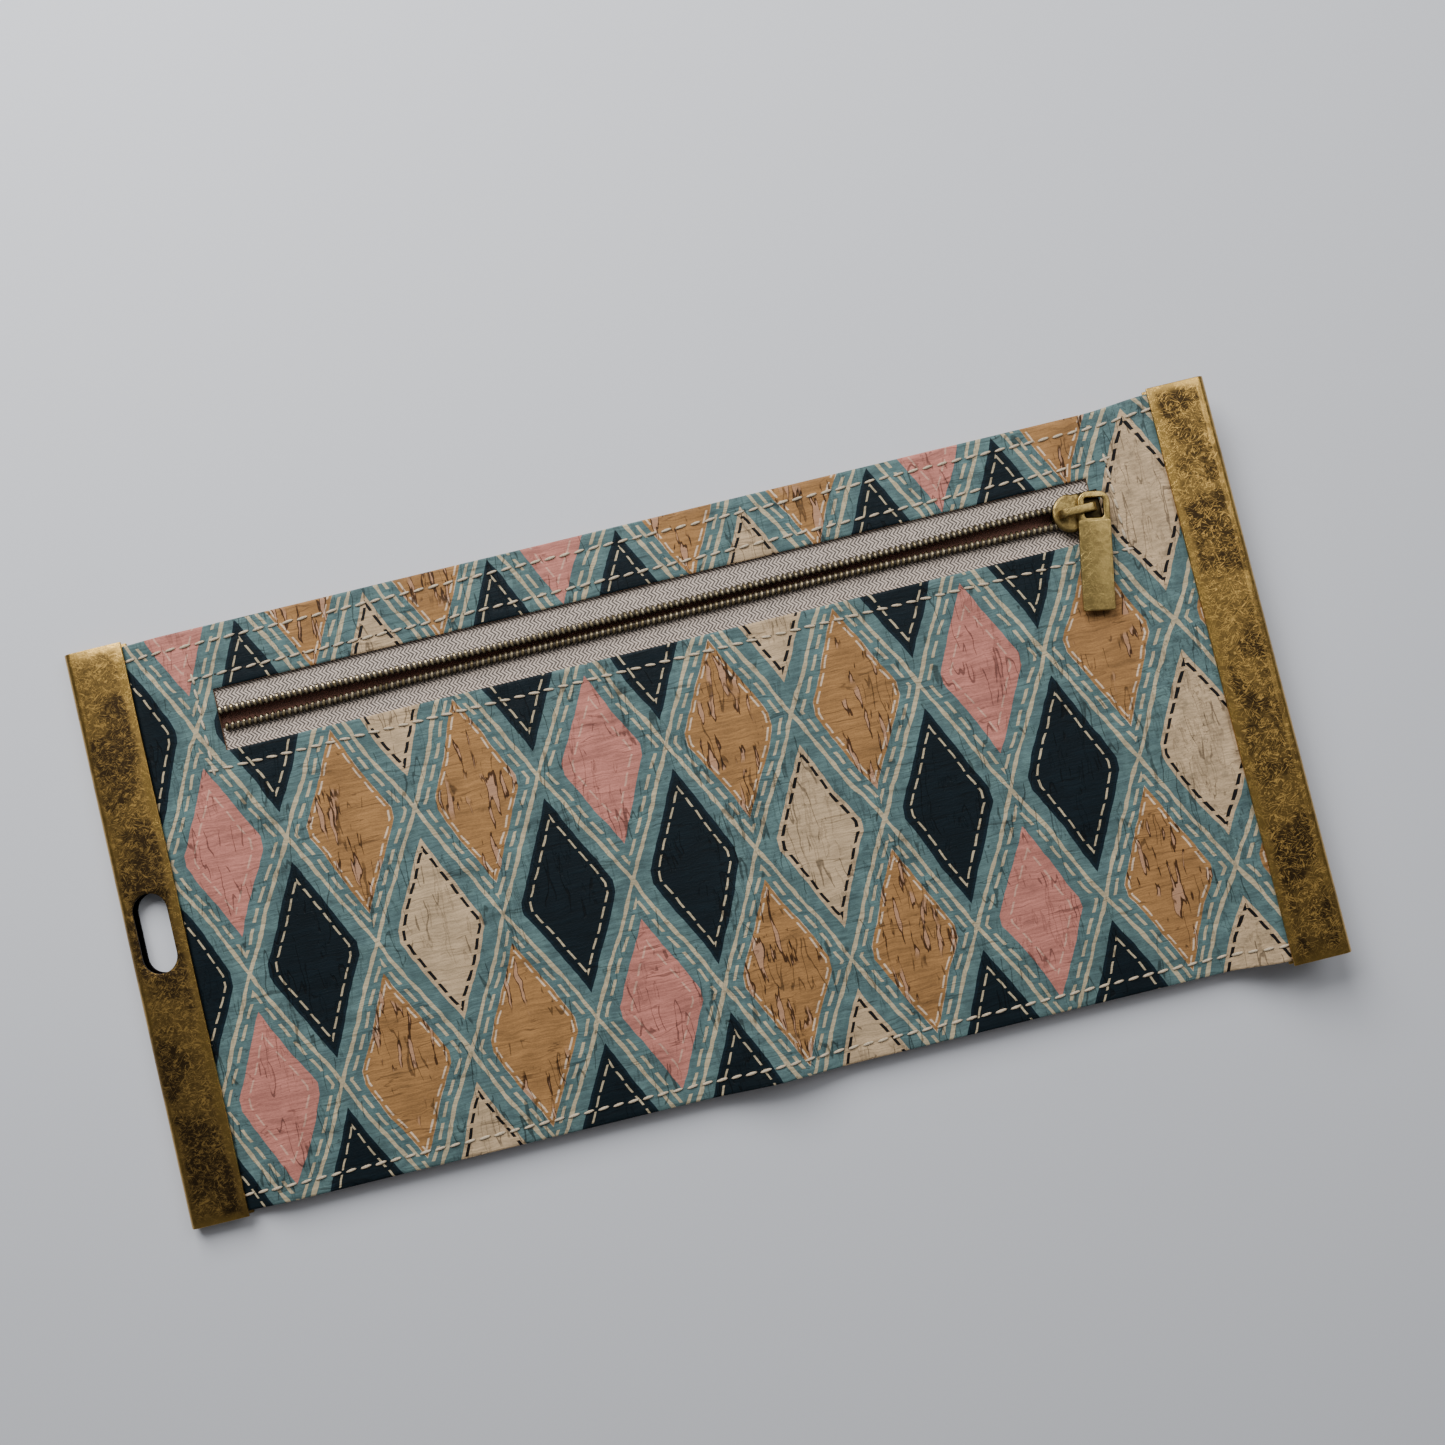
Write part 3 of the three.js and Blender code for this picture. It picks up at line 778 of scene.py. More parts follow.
def woven(g, colour, thread_pitch):
    """Plain woven cloth: crossing threads with slight unevenness"""
    x, y, _ = g.split(g.place)
    turn = 2 * math.pi / thread_pitch
    weave = g.math("SINE", x * turn) * g.math("SINE", y * turn)
    blotch = g.noise(g.place, 0.4, 3.0, 0.6)
    slub = g.noise(g.stretch(g.place, 0.3, 3.0), 1.0)
    level = weave * 0.12 + g.ramp(blotch, 0.3, 0.7, -0.08, 0.08)
    level = level + g.ramp(slub, 0.3, 0.7, 0.92, 1.08)
    g.set(Base_Color=g.shade(level, colour), Roughness=0.85, Sheen_Weight=0.15)
    g.bump(weave, 0.06 * MM, 0.6)


def herringbone_tape(g, colour):
    """Zip tape: short slanting ribs that change direction from band to band"""
    x, y, _ = g.split(g.place)
    slant = g.math("PINGPONG", y / 1.5, 0.5) * 2.2
    rib = g.math("SINE", (x / 0.72 + slant) * (2 * math.pi))
    rib = rib + g.ramp(g.noise(g.place, 1.8), 0.3, 0.7, -0.35, 0.35)
    g.set(Base_Color=g.mix(g.ramp(rib, -0.75, 0.35), scaled(colour, 0.15), colour),
          Roughness=0.8, Sheen_Weight=0.2)
    g.bump(rib, 0.08 * MM, 0.7)


def antique_brass(g, bright, edges, age_and_light_level, scuffed, painted_shade_mask=None, brushed=0.0):
    """Aged brass: bright worn edges, dark clouded patina and dense fine scratches each way.
    edges(g) gives how worn a place is, and the painted-shade mask where shade in recesses is painted
    almost black, from 0 to 1.
    scuffed is how strongly the scratches show"""
    cloud = g.ramp(g.noise(g.place, 0.11, 4.0, 0.6), 0.36, 0.64)
    spots = g.noise(g.place, 2.4, 4.0, 0.7)
    bent = g.shift(g.place, 0.7, 0.4, 2.0)
    scratch = None
    for turn in (0.3, -0.7, 1.3, 2.2, -1.4, 0.9):
        field = g.noise(g.stretch(bent, 1.6, 0.27, turn=turn), 1.0, 1.0)
        patches = g.noise(g.stretch(g.place, 0.7, 0.7, turn=turn + 0.5), 1.0, 1.0)
        mark = g.band(field, 0.5, 0.003, 0.016) * g.ramp(patches, 0.45, 0.60)
        scratch = g.largest(scratch, mark) if scratch else mark
    worn = edges(g) * g.ramp(spots, 0.25, 0.6, 0.72, 1.0)
    age = g.ramp(cloud, 0.0, 1.0, 0.60, 1.0) * age_and_light_level - worn * 0.68
    age = g.ramp(age + g.ramp(spots, 0.3, 0.7, -0.09, 0.09), 0.0, 1.0)
    colour = g.mix(age, g.mix(worn, bright, scaled(bright, 1.15)), settings().patina)
    shown = g.ramp(cloud, 0.0, 1.0, scuffed, scuffed * 0.75)
    colour = g.mix(scratch * shown, colour, scaled(bright, 1.65))
    # Painted shade: recesses that lie in shadow are painted almost black
    if painted_shade_mask:
        colour = g.mix(painted_shade_mask(g), colour, (0.004, 0.003, 0.003))
    g.set(Base_Color=colour, Metallic=1.0, Roughness=g.ramp(age, 0.0, 1.0, 0.30 + brushed, 0.52))
    g.bump(spots * 0.4 - scratch * 0.25, 0.06 * MM, 0.5)


def slot_shade_paint(g):
    """Painted shade: the walls of the slot and what can be seen between the bar's plates, painted
    almost black where they lie in shadow
    """
    x, y, z = g.split(g.place)
    across = x + BAR_MIDDLE / MM
    along = g.largest(abs(y) - (SLOT_LENGTH - SLOT_W) / 2 / MM, 0.0)
    from_middle = g.math("SQRT", across * across + along * along)
    rim, top = SLOT_W / 2 / MM, BAR_T / MM
    return (g.ramp(from_middle, rim + 0.9, rim + 1.1, 1.0, 0.0)
            * g.ramp(z, top - 0.45, top - 0.15, 1.0, 0.0))


def bar_edges(middle_x, crease):
    """How close a place on a bar is to its long edges and its ends.
    crease adds the faint line that runs beside the fold"""
    half_w = (RIGHT_HIGH.x - RIGHT_LOW.x) / 2 / MM

    def edges(g):
        x, y, _ = g.split(g.shift(g.place, 1.0, 0.7, 3.0, 0.6))
        across = (x - middle_x / MM) * math.copysign(1, middle_x)
        inward = g.math("MINIMUM", half_w - abs(across), BAR_HALF / MM - abs(y))
        worn = g.ramp(inward, 0.05, 2.3, 1.0, 0.0)
        if crease:
            worn = g.largest(worn, g.band(across, half_w - 1.8, 0.1, 0.25) * 0.45)
        return worn
    return edges


def slider_shade_paint(g):
    """Painted shade: the slider's low rim and the hollow beside its bridge, seen through the pull's
    ring, are painted almost black
    """
    x, _, z = g.split(g.place)
    top, middle = PLATE_TOP / MM, SLIDER_X / MM
    rim = g.ramp(z, top - 0.45, top - 0.08, 1.0, 0.0)
    hollow = g.ramp(x, middle + 0.7, middle + 1.3) * g.ramp(z, top + 0.1, top + 0.5, 1.0, 0.0)
    return g.largest(rim, hollow) * 0.9


def even_wear(level):
    """Small castings: wear in patches, without a fixed edge"""
    def edges(g):
        return g.ramp(g.noise(g.place, 0.9, 3.0, 0.6), 0.3, 0.7, level - 0.25, level + 0.25)
    return edges


def coil_plastic(g):
    """Metal-coloured coil with painted light: a painted highlight on the top of each turn and painted
    shade on its lower part
    """
    cloud = g.noise(g.place, 0.8, 3.0)
    # Painted light by height: near black low on each turn, bright at its top
    painted_top_light = g.ramp(g.split(g.place)[2], COIL_TOP / MM - 0.30, COIL_TOP / MM)
    bright = g.mix(g.ramp(cloud, 0.35, 0.65), (0.30, 0.23, 0.115), (0.52, 0.43, 0.27))
    g.set(Base_Color=g.mix(painted_top_light, (0.045, 0.034, 0.018), bright), Metallic=0.7,
          Roughness=g.ramp(cloud, 0.3, 0.7, 0.16, 0.28))


def fibres(g, colour, rough):
    fibre = g.noise(g.stretch(g.place, 3.0, 3.0, 3.0), 1.5, 3.0, 0.6)
    g.set(Base_Color=g.mix(g.ramp(fibre, 0.35, 0.6), scaled(colour, 0.62), colour),
          Roughness=rough)
    g.bump(fibre, 0.05 * MM, 0.6)


def pale_floor(g):
    g.set(Base_Color=g.mix(g.noise(g.place, 0.004), (0.64, 0.655, 0.70), (0.67, 0.685, 0.73)),
          Roughness=0.7)


def material(name):
    """Each finish is made once, when a piece first asks for it"""
    found = bpy.data.materials.get(name)
    if found:
        return found
    look = settings()
    makers = {
        "cork_print": (printed_cork,),
        "inside_weave": (woven, look.inside, 0.8),
        "lining_weave": (woven, look.lining, 0.5),
        "tape_weave": (herringbone_tape, look.tape),
        "coil_nylon": (coil_plastic,),
        "thread": (fibres, look.thread, 0.7),
        # Needle holes: a near-black colour, painted shade for the shadow in each hole
        "needle_hole_shade": (fibres, (0.02, 0.015, 0.012), 0.95),
        # The core cord is a real part of the coil; its near-black colour is painted shade for the
        # dark gaps between the turns
        "core_cord_shade": (fibres, (0.035, 0.025, 0.016), 0.8),
        "raw_cork": (fibres, (0.27, 0.145, 0.075), 0.9),
        # Both bars are the same aged brass; the right bar's lower age level is painted light, a
        # lighter copy for the brighter light that falls on it
        "left_brass": (antique_brass, look.brass, bar_edges(-BAR_MIDDLE, False),
                       1.10, 0.48, slot_shade_paint),
        "right_brass": (antique_brass, look.brass, bar_edges(BAR_MIDDLE, True), 0.95, 0.90),
        "small_brass": (antique_brass, look.small_brass, even_wear(0.50), 0.62, 0.35, None, 0.02),
        "slider_brass": (antique_brass, look.small_brass, even_wear(0.40),
                         0.72, 0.35, slider_shade_paint, 0.02),
        "floor": (pale_floor,),
    }
    maker, *choices = makers[name]
    g = Graph(name)
    maker(g, *choices)
    return g.material


# Rows of like things, by Geometry Nodes

def row_tree(name, primitive, sizes):
    """A tree that sets a small shape along a path, once each pitch.
    primitive(tree, given) adds the shape's nodes and returns its geometry socket"""
    tree = bpy.data.node_groups.new(name, "GeometryNodeTree")
    for entry in ("Geometry", "Pitch", *sizes, "Lean", "Uneven", "Material"):
        kind = entry if entry in ("Geometry", "Material") else "Float"
        tree.interface.new_socket(entry, in_out="INPUT", socket_type=f"NodeSocket{kind}")
    tree.interface.new_socket("Geometry", in_out="OUTPUT", socket_type="NodeSocketGeometry")
    given = add_node(tree, "NodeGroupInput").outputs
    curve = add_node(tree, "GeometryNodeMeshToCurve", {0: given["Geometry"]})
    spots = add_node(tree, "GeometryNodeCurveToPoints", {
        "Curve": curve.outputs[0], "Length": given["Pitch"]}, mode="LENGTH")
    align = add_node(tree, "FunctionNodeAlignRotationToVector", {
        "Vector": spots.outputs["Tangent"]}, axis="X")
    lean = add_node(tree, "ShaderNodeCombineXYZ", {"Z": given["Lean"]})
    turned = add_node(tree, "FunctionNodeRotateRotation", {
        0: align.outputs[0], 1: lean.outputs[0]}, rotation_space="LOCAL")
    smallest = add_node(tree, "ShaderNodeMath", {0: 1.0, 1: given["Uneven"]}, operation="SUBTRACT")
    chance = add_node(tree, "FunctionNodeRandomValue", {"Seed": 7}, data_type="FLOAT")
    low, high = [socket for socket in chance.inputs if socket.type == "VALUE"][:2]
    feed(low, smallest.outputs[0])
    feed(high, 1.0)
    size = next(socket for socket in chance.outputs if socket.type == "VALUE")
    place = add_node(tree, "GeometryNodeInstanceOnPoints", {
        "Points": spots.outputs["Points"], "Instance": primitive(tree, given),
        "Rotation": turned.outputs[0], "Scale": size})
    real = add_node(tree, "GeometryNodeRealizeInstances", {0: place.outputs[0]})
    finish = add_node(tree, "GeometryNodeSetMaterial", {
        "Geometry": real.outputs[0], "Material": given["Material"]})
    add_node(tree, "NodeGroupOutput", {0: finish.outputs[0]})
    return tree


def stitch_shape(tree, given):
    """A stitch: a ball drawn out along the seam"""
    ball = add_node(tree, "GeometryNodeMeshUVSphere", {"Segments": 8, "Rings": 6, "Radius": 1.0})
    size = add_node(tree, "ShaderNodeCombineXYZ", {
        "X": given["Half length"], "Y": given["Half width"], "Z": given["Half height"]})
    return add_node(tree, "GeometryNodeTransform", {
        "Geometry": ball.outputs["Mesh"], "Scale": size.outputs[0]}).outputs[0]


def turn_shape(tree, given):
    """One turn of the coil: an oval ring of wire that stands across the row"""
    ring = add_node(tree, "GeometryNodeCurvePrimitiveCircle", {"Resolution": 14, "Radius": 1.0})
    size = add_node(tree, "ShaderNodeCombineXYZ", {
        "X": given["Half height"], "Y": given["Half width"], "Z": 1.0})
    oval = add_node(tree, "GeometryNodeTransform", {
        "Rotation": (0, QUARTER, 0), "Geometry": ring.outputs["Curve"], "Scale": size.outputs[0]})
    wire = add_node(tree, "GeometryNodeCurvePrimitiveCircle", {
        "Resolution": 7, "Radius": given["Wire"]})
    return add_node(tree, "GeometryNodeCurveToMesh", {
        "Curve": oval.outputs[0], "Profile Curve": wire.outputs["Curve"]}).outputs[0]


TREES = {
    "stitches": (stitch_shape, ("Half length", "Half width", "Half height")),
    "coil_turns": (turn_shape, ("Half width", "Half height", "Wire")),
}


def row(name, kind, paths, sizes, finish):
    """A plain mesh of like things along paths; sizes go by the tree's input names"""
    tree = bpy.data.node_groups.get(kind) or row_tree(kind, *TREES[kind])
    points, edges = [], []
    for path in paths:
        start = len(points)
        points.extend(path)
        edges.extend((start + i, start + i + 1) for i in range(len(path) - 1))
    guide = bpy.data.meshes.new(name)
    guide.from_pydata(points, edges, [])
    carrier = carrier_of(guide)
    modifier = carrier.modifiers.new("row", "NODES")
    modifier.node_group = tree
    identifiers = {item.name: item.identifier for item in tree.interface.items_tree
                   if item.in_out == "INPUT"}
    for key, value in {**sizes, "Material": material(finish)}.items():
        modifier[identifiers[key]] = value
    mesh = plain_mesh(carrier)
    mesh.shade_smooth()
    return mesh


# Operators

class WALLET_OT_cork_panel(bpy.types.Operator):
    """Printed cork panel with its zip window"""
    bl_idname = "wallet.cork_panel"
    bl_label = "Cork panel"

    def execute(self, context):
        left, right, low, high = WINDOW
        rim = [value for value in edge_lines(-PANEL_HALF, PANEL_HALF) if abs(value) <= PANEL_HALF]
        xs = merged(edge_lines(left, right), [-NOTCH_X, NOTCH_X],
                    spread(-SHEET_END, SHEET_END, CORK_GRID))
        ys = merged(edge_lines(low, high), rim, [-NOTCH_Y, NOTCH_Y],
                    spread(-PANEL_HALF, PANEL_HALF, CORK_GRID))
        xs = snapped(xs, (left, right, -NOTCH_X, NOTCH_X, -SHEET_END, SHEET_END))
        ys = snapped(ys, (low, high, -NOTCH_Y, NOTCH_Y, -PANEL_HALF, PANEL_HALF))
        mesh = cloth_mesh("cork_panel", xs, ys, self.filled, cork_bottom, cork_top)
        for finish in ("cork_print", "raw_cork"):
            mesh.materials.append(material(finish))
        for face in mesh.polygons:
            face.material_index = int(face.normal.z < 0.3)
        piece = new_piece("cork_panel", mesh, "wallet_body", node="outer_panel")
        return {"FINISHED"}

    def filled(self, x, y):
        return beyond(x, y, *WINDOW) > 0 and not notched(x, y)


class WALLET_OT_inside(bpy.types.Operator):
    """Inner panel, pocket lining and the stepped card pockets"""
    bl_idname = "wallet.inside"
    bl_label = "Inside"

    def execute(self, context):
        panel = self.sheet("inside_panel", "inner_panel", "inside_weave", "inner_cloth",
                           (-SHEET_END, SHEET_END), (-PANEL_HALF, PANEL_HALF), 0.0, INNER_T,
                           "slotted_bar")
        low, high = HEM - PANEL_HALF, PANEL_HALF - HEM
        self.sheet("lining_sheet", "pocket_lining", "lining_weave", "lining",
                   (-INSET_END, INSET_END), (low, high), INNER_T + SEAM_GAP, LINING_T, panel)
        spans = {"left": (-INSET_END, FOLD_X - CARD_FOLD_GAP),
                 "right": (FOLD_X + CARD_FOLD_GAP, INSET_END)}
        for layer, lip in enumerate(CARD_LIPS, 1):
            for side, span in spans.items():
                self.sheet(f"pocket_{side}_{layer}", f"card_pocket_{side}_{layer}",
                           "inside_weave", "inner_cloth", span, (low, lip),
                           -layer * (CARD_T + SEAM_GAP), CARD_T, panel)
        return {"FINISHED"}

    def sheet(self, name, node, finish, slot, x_range, y_range, lift, thickness, rests_on):
        """A plain sheet that follows the inner panel, by its lift from the panel's lower face"""
        xs, ys = spread(*x_range, SHEET_GRID), spread(*y_range, SHEET_GRID)
        if x_range[1] > NOTCH_X:
            xs = snapped(xs, (-NOTCH_X, NOTCH_X, *x_range))
            ys = snapped(ys, (-NOTCH_Y, NOTCH_Y, *y_range))
        carrier = carrier_of(cloth_mesh(
            name, xs, ys, lambda x, y: not notched(x, y),
            lambda x, y: inner_bottom(x, y) + lift,
            lambda x, y: inner_bottom(x, y) + lift + thickness))
        round_edges(carrier, min(SHEET_RIM, thickness / 3), 1, 60)
        mesh = smooth(plain_mesh(carrier), math.radians(50))
        piece = new_piece(name, mesh, "wallet_body", finish, node)
        flat = (x_range[1] - x_range[0], y_range[1] - y_range[0])
        return piece


class WALLET_OT_zip(bpy.types.Operator):
    """Zip tapes and the two coil rows"""
    bl_idname = "wallet.zip"
    bl_label = "Zip"

    def execute(self, context):
        for side, word in ((1, "upper"), (-1, "lower")):
            self.tape(side, word)
            self.coil(side, word)
        return {"FINISHED"}

    def row_y(self, side, x):
        """Middle line of a coil row, which wanders in the open zip"""
        share = (x - WINDOW_LEFT) / (WINDOW_RIGHT - WINDOW_LEFT)
        closing = ease(share / 0.35) * ease((0.97 - share) / 0.28)
        return ZIP_Y + side * (ROW_MIDDLE - ROW_WANDER * closing)

    def tape(self, side, word):
        rings = []
        for x in spread(-INSET_END, INSET_END, 1.5 * MM):
            start = self.row_y(side, min(max(x, WINDOW_LEFT), WINDOW_RIGHT))
            end = ZIP_Y + side * TAPE_REACH
            ys = [start + (end - start) * share for share in spread(0.0, 1.0, 0.12)]
            under = [(x, y, outer_bottom(x, y) - SEAM_GAP - TAPE_T) for y in ys]
            rings.append(under + [(x, y, z + TAPE_T) for x, y, z in reversed(under)])
        piece = new_piece(f"tape_{word}", loft(f"tape_{word}", rings), "wallet_body",
                          "tape_weave", f"zip_tape_{word}")

    def coil(self, side, word):
        name = f"coil_{word}_turns"
        middle = (COIL_TOP + COIL_BOTTOM) / 2
        path = [(x, self.row_y(side, x), middle)
                for x in spread(COIL_LOW.x + COIL_WIRE, COIL_HIGH.x - COIL_WIRE, 2 * MM)]
        if side < 0:
            path = [(x + COIL_PITCH / 2, y, z) for x, y, z in path[:-1]]
        turns = row(name, "coil_turns", [path], {
            "Pitch": COIL_PITCH, "Half width": ROW_W / 2 - COIL_WIRE,
            "Half height": (COIL_TOP - COIL_BOTTOM) / 2 - COIL_WIRE, "Wire": COIL_WIRE,
            "Lean": side * COIL_LEAN, "Uneven": 0.0}, "coil_nylon")
        # The core cord's near-black colour is painted shade between the coil's turns
        core = loft("core", [[(x, y + v, z + w) for v, w in circle(COIL_CORE, 8)]
                             for x, y, z in path])
        mesh = join_meshes(name, [turns, core], ("coil_nylon", "core_cord_shade"))
        new_piece(name, mesh, "wallet_body", node=f"coil_{word}")


class WALLET_OT_slider(bpy.types.Operator):
    """Slider with its plates, side flanges and bridge, and the pull"""
    bl_idname = "wallet.slider"
    bl_label = "Slider and pull"

    def execute(self, context):
        wedge = round_rect(1 * MM - SLIDER_HALF, WEDGE_BACK - SLIDER_HALF,
                           -WEDGE_HALF_W, WEDGE_HALF_W, 0.3 * MM)
        lower = slider_outline(LOWER_INSET, SLIDER_HALF - LOWER_INSET)
        self.piece("slider", "slider_body", "slider_brass", "zip_slider", [
            self.upper_plate(),
            raised([lower], LOWER_PLATE, LOWER_PLATE + PLATE_T, 0.15 * MM),
            self.flange(1),
            self.flange(-1),
            raised([wedge], LOWER_PLATE + ROOTED, PLATE_LOW + ROOTED, 0.05 * MM),
            self.bridge(),
        ], Matrix.Translation((SLIDER_X, ZIP_Y, 0)))
        turn = Matrix.Rotation(PULL_TURN, 4, "Z") @ Matrix.Rotation(PULL_TILT, 4, "X")
        place = Matrix.Translation((SLIDER_X + BRIDGE_LEG, ZIP_Y, PLATE_TOP + PULL_PLAY))
        self.piece("pull", "pull_body", "small_brass", "zip_pull", self.pull(), place @ turn)
        return {"FINISHED"}

    def piece(self, name, body, finish, node, meshes, place):
        for mesh in meshes:
            mesh.transform(place)
        new_piece(name, join_meshes(name, meshes), body, finish, node)

    def upper_plate(self):
        """The outline raised with a small lower bevel and a wide round upper edge"""
        outline = slider_outline(0.0, SLIDER_HALF + TAIL_REACH)
        half = max(abs(x) for x, _ in outline)
        foot = 0.12 * MM
        levels = [(foot, PLATE_LOW), (0.0, PLATE_LOW + foot)]
        for cosine, sine in arc(0, 0, 1, 0, 1, 6):
            levels.append((PLATE_DOME * (1 - cosine), PLATE_TOP - PLATE_T * 0.55 * (1 - sine)))
        rings = []
        for inset, z in levels:
            share = 1 - inset / half
            narrow = share * (1 - inset / half * 0.2)
            rings.append([(x * share, y * narrow, z) for x, y in outline])
        return loft("plate", rings)

    def flange(self, side):
        channel = ROW_GAP / 2 + ROW_W + RUN_GAP
        wall = sorted((x, y) for x, y in slider_outline(0.05 * MM, FLANGE_BACK)
                      if side * y > channel)
        outline = wall + [(wall[-1][0], side * channel), (wall[0][0], side * channel)]
        return raised([outline], TAPE_TOP + RUN_GAP, PLATE_LOW + ROOTED, 0.06 * MM)

    def bridge(self):
        """The strip that the pull hangs on, drawn from the side and turned upright"""
        under = PLATE_TOP + PULL_PLAY * 2 + PULL_T + SEAM_GAP
        over = under + BRIDGE_T
        left, right = BRIDGE_LEFT, BRIDGE_LEG + BRIDGE_T / 2
        foot = PLATE_LOW + 0.25 * MM
        r_left, r_right, r_inner = 1.4 * MM, 1.1 * MM, 0.5 * MM
        reach = BRIDGE_T + r_inner
        outline = ([(right, foot)]
                   + arc(right - r_right, over - r_right, r_right, 0, 1, 8)
                   + arc(left + r_left, over - r_left, r_left, 1, 2, 8)
                   + [(left, foot), (left + BRIDGE_T, foot)]
                   + arc(left + reach, under - r_inner, r_inner, 2, 1, 5)
                   + arc(right - reach, under - r_inner, r_inner, 1, 0, 5)
                   + [(right - BRIDGE_T, foot)])
        mesh = raised([outline], -BRIDGE_HALF_W, BRIDGE_HALF_W, 0.16 * MM)
        mesh.transform(Matrix.Rotation(QUARTER, 4, "X"))
        return mesh

    def pull(self):
        """The ring round the bridge's leg and the tab below it"""
        bend = RING_HALF - RING_R
        heel = -RING_HALF + 0.1 * MM
        arch = (arc(bend, bend, RING_R, 0, 1, 10) + arc(-bend, bend, RING_R, 1, 2, 10)
                + [(-RING_HALF, heel), (RING_HALF, heel)])
        eye = round_rect(-EYE_HALF, EYE_HALF, -EYE_HALF - 0.2 * MM, EYE_HALF, 0.5 * MM)
        tab = round_rect(-RING_HALF, RING_HALF, -RING_HALF - TAB_LENGTH, -EYE_HALF - 0.55 * MM,
                         0.35 * MM)
        return [raised([arch, eye], 0, PULL_T, 0.2 * MM),
                raised([tab], -0.02 * MM, PULL_T + 0.03 * MM, 0.1 * MM)]


class WALLET_OT_bars(bpy.types.Operator):
    """The two folded bars, one with the slot"""
    bl_idname = "wallet.bars"
    bl_label = "Bars"

    def execute(self, context):
        slot = self.cutter(stadium(SLOT_LENGTH, SLOT_W), -1, -1 * MM, BAR_T + 1 * MM)
        self.bar("bar_with_slot", "slotted_bar", -1, 0.0, "left_brass", slot)
        hole = self.cutter(circle(BUSHING_R), 1, RAISE - 1 * MM, RAISE + 0.9 * MM)
        self.bar("bar_with_latch", "latch_bar", 1, RAISE, "right_brass", hole)
        return {"FINISHED"}

    def profile(self, side, low):
        """Section of the folded sheet in X and Z, with softly rounded lips"""
        r = BAR_T / 2
        outer = side * (RIGHT_HIGH.x - r)
        lip = side * BAR_INNER
        high = low + BAR_T
        round_out = [(outer + side * x, z) for x, z in arc(0, low + r, r, -1, 1, 16)]
        round_in = [(outer + side * x, z) for x, z in arc(0, low + r, r - BAR_WALL, 1, -1, 12)]
        return ([(lip, low)] + round_out + [(lip, high), (lip, high - BAR_WALL)]
                + round_in + [(lip, low + BAR_WALL)])

    def bar(self, name, node, side, low, finish, cutter):
        section = self.profile(side, low)
        carrier = carrier_of(loft(name, [[(x, y, z) for x, z in section]
                                         for y in spread(-BAR_HALF, BAR_HALF, 4 * MM)]))
        cut = carrier.modifiers.new("hole", "BOOLEAN")
        cut.operation = "DIFFERENCE"
        cut.solver = "EXACT"
        cut.object = cutter
        round_edges(carrier, BAR_ROUND, 3, 45)
        mesh = tidy(plain_mesh(carrier), math.radians(35))
        bpy.data.objects.remove(cutter)
        new_piece(name, mesh, "wallet_body", finish, node)

    def cutter(self, outline, side, bottom, top):
        """A plug with the outline of the slot or of the hole for the latch's bushing"""
        return carrier_of(loft("cutter", [[(x + side * BAR_MIDDLE, y, z) for x, y in outline]
                                          for z in (bottom, top)]))


class WALLET_OT_latch(bpy.types.Operator):
    """Turn knob below the right bar, with the bushing and washer of its bearing"""
    bl_idname = "wallet.latch"
    bl_label = "Turn latch"

    def execute(self, context):
        low, high = (Vector(corner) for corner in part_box("latch_knob"))
        handle = stadium(high.y - low.y, high.x - low.x)
        meshes = [
            raised([handle], 0, KNOB_T, 0.4 * MM),
            raised([circle(SHANK_R)], KNOB_T - 0.3 * MM, high.z - 0.2 * MM, 0.05 * MM),
            raised([circle(HEAD_R)], high.z - HEAD_T, high.z, 0.15 * MM),
        ]
        mesh = join_meshes("turn_knob", meshes)
        mesh.transform(Matrix.Translation((BAR_MIDDLE, 0, 0)))
        new_piece("turn_knob", mesh, "knob_body", "small_brass", "latch_knob")
        for node in ("latch_bushing", "latch_washer"):
            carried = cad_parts[node]
            carried.data.materials.clear()
            carried.data.materials.append(material("small_brass"))
        return {"FINISHED"}


class WALLET_OT_stitches(bpy.types.Operator):
    """Seams along the long edges and round the zip window, on both faces"""
    bl_idname = "wallet.stitches"
    bl_label = "Stitches"

    def execute(self, context):
        inset = PANEL_HALF - settings().stitch_inset
        left, right, low, high = WINDOW_SEAM
        long_seams = [((-SEAM_END, inset), (SEAM_END, inset)),
                      ((-SEAM_END, -inset), (SEAM_END, -inset))]
        window_seams = [
            ((left, high), (right, high)),
            ((right, high), (right, low)),
            ((right, low), (left, low)),
            ((left, low), (left, high)),
        ]
        self.seam("outer_seams", cork_top, long_seams + window_seams, 0.13 * MM, STITCH_LEAN)
        self.seam("inner_seams", inside_face, long_seams, 0.21 * MM, -STITCH_LEAN)
        return {"FINISHED"}

    def seam(self, name, surface, seams, lift, lean):
        look = settings()
        pitch, thick = look.stitch_pitch, look.thread_thickness
        stitches = row(name, "stitches", [self.path(surface, *seam, 0.0, lift) for seam in seams], {
            "Pitch": pitch, "Half length": pitch * 0.43, "Half width": thick / 2,
            "Half height": thick * 0.42, "Lean": lean, "Uneven": 0.12}, "thread")
        new_piece(name, stitches, "wallet_body")
        # Dark flat spots between the stitches: painted shade in the needle holes
        name = f"{name}_holes"
        holes = row(name, "stitches", [self.path(surface, *seam, pitch / 2, 0.0) for seam in seams], {
            "Pitch": pitch, "Half length": 0.3 * MM, "Half width": 0.24 * MM,
            "Half height": 0.05 * MM, "Lean": 0.0, "Uneven": 0.25}, "needle_hole_shade")
        new_piece(name, holes, "wallet_body")

    def path(self, surface, start, end, delay, lift):
        """Points along a straight seam, laid on a surface and begun a little further along"""
        start, end = Vector(start), Vector(end)
        start = start.lerp(end, delay / (end - start).length)
        count = max(1, round((end - start).length / (1.0 * MM)))
        places = [start.lerp(end, i / count) for i in range(count + 1)]
        return [(x, y, surface(x, y) + lift) for x, y in places]


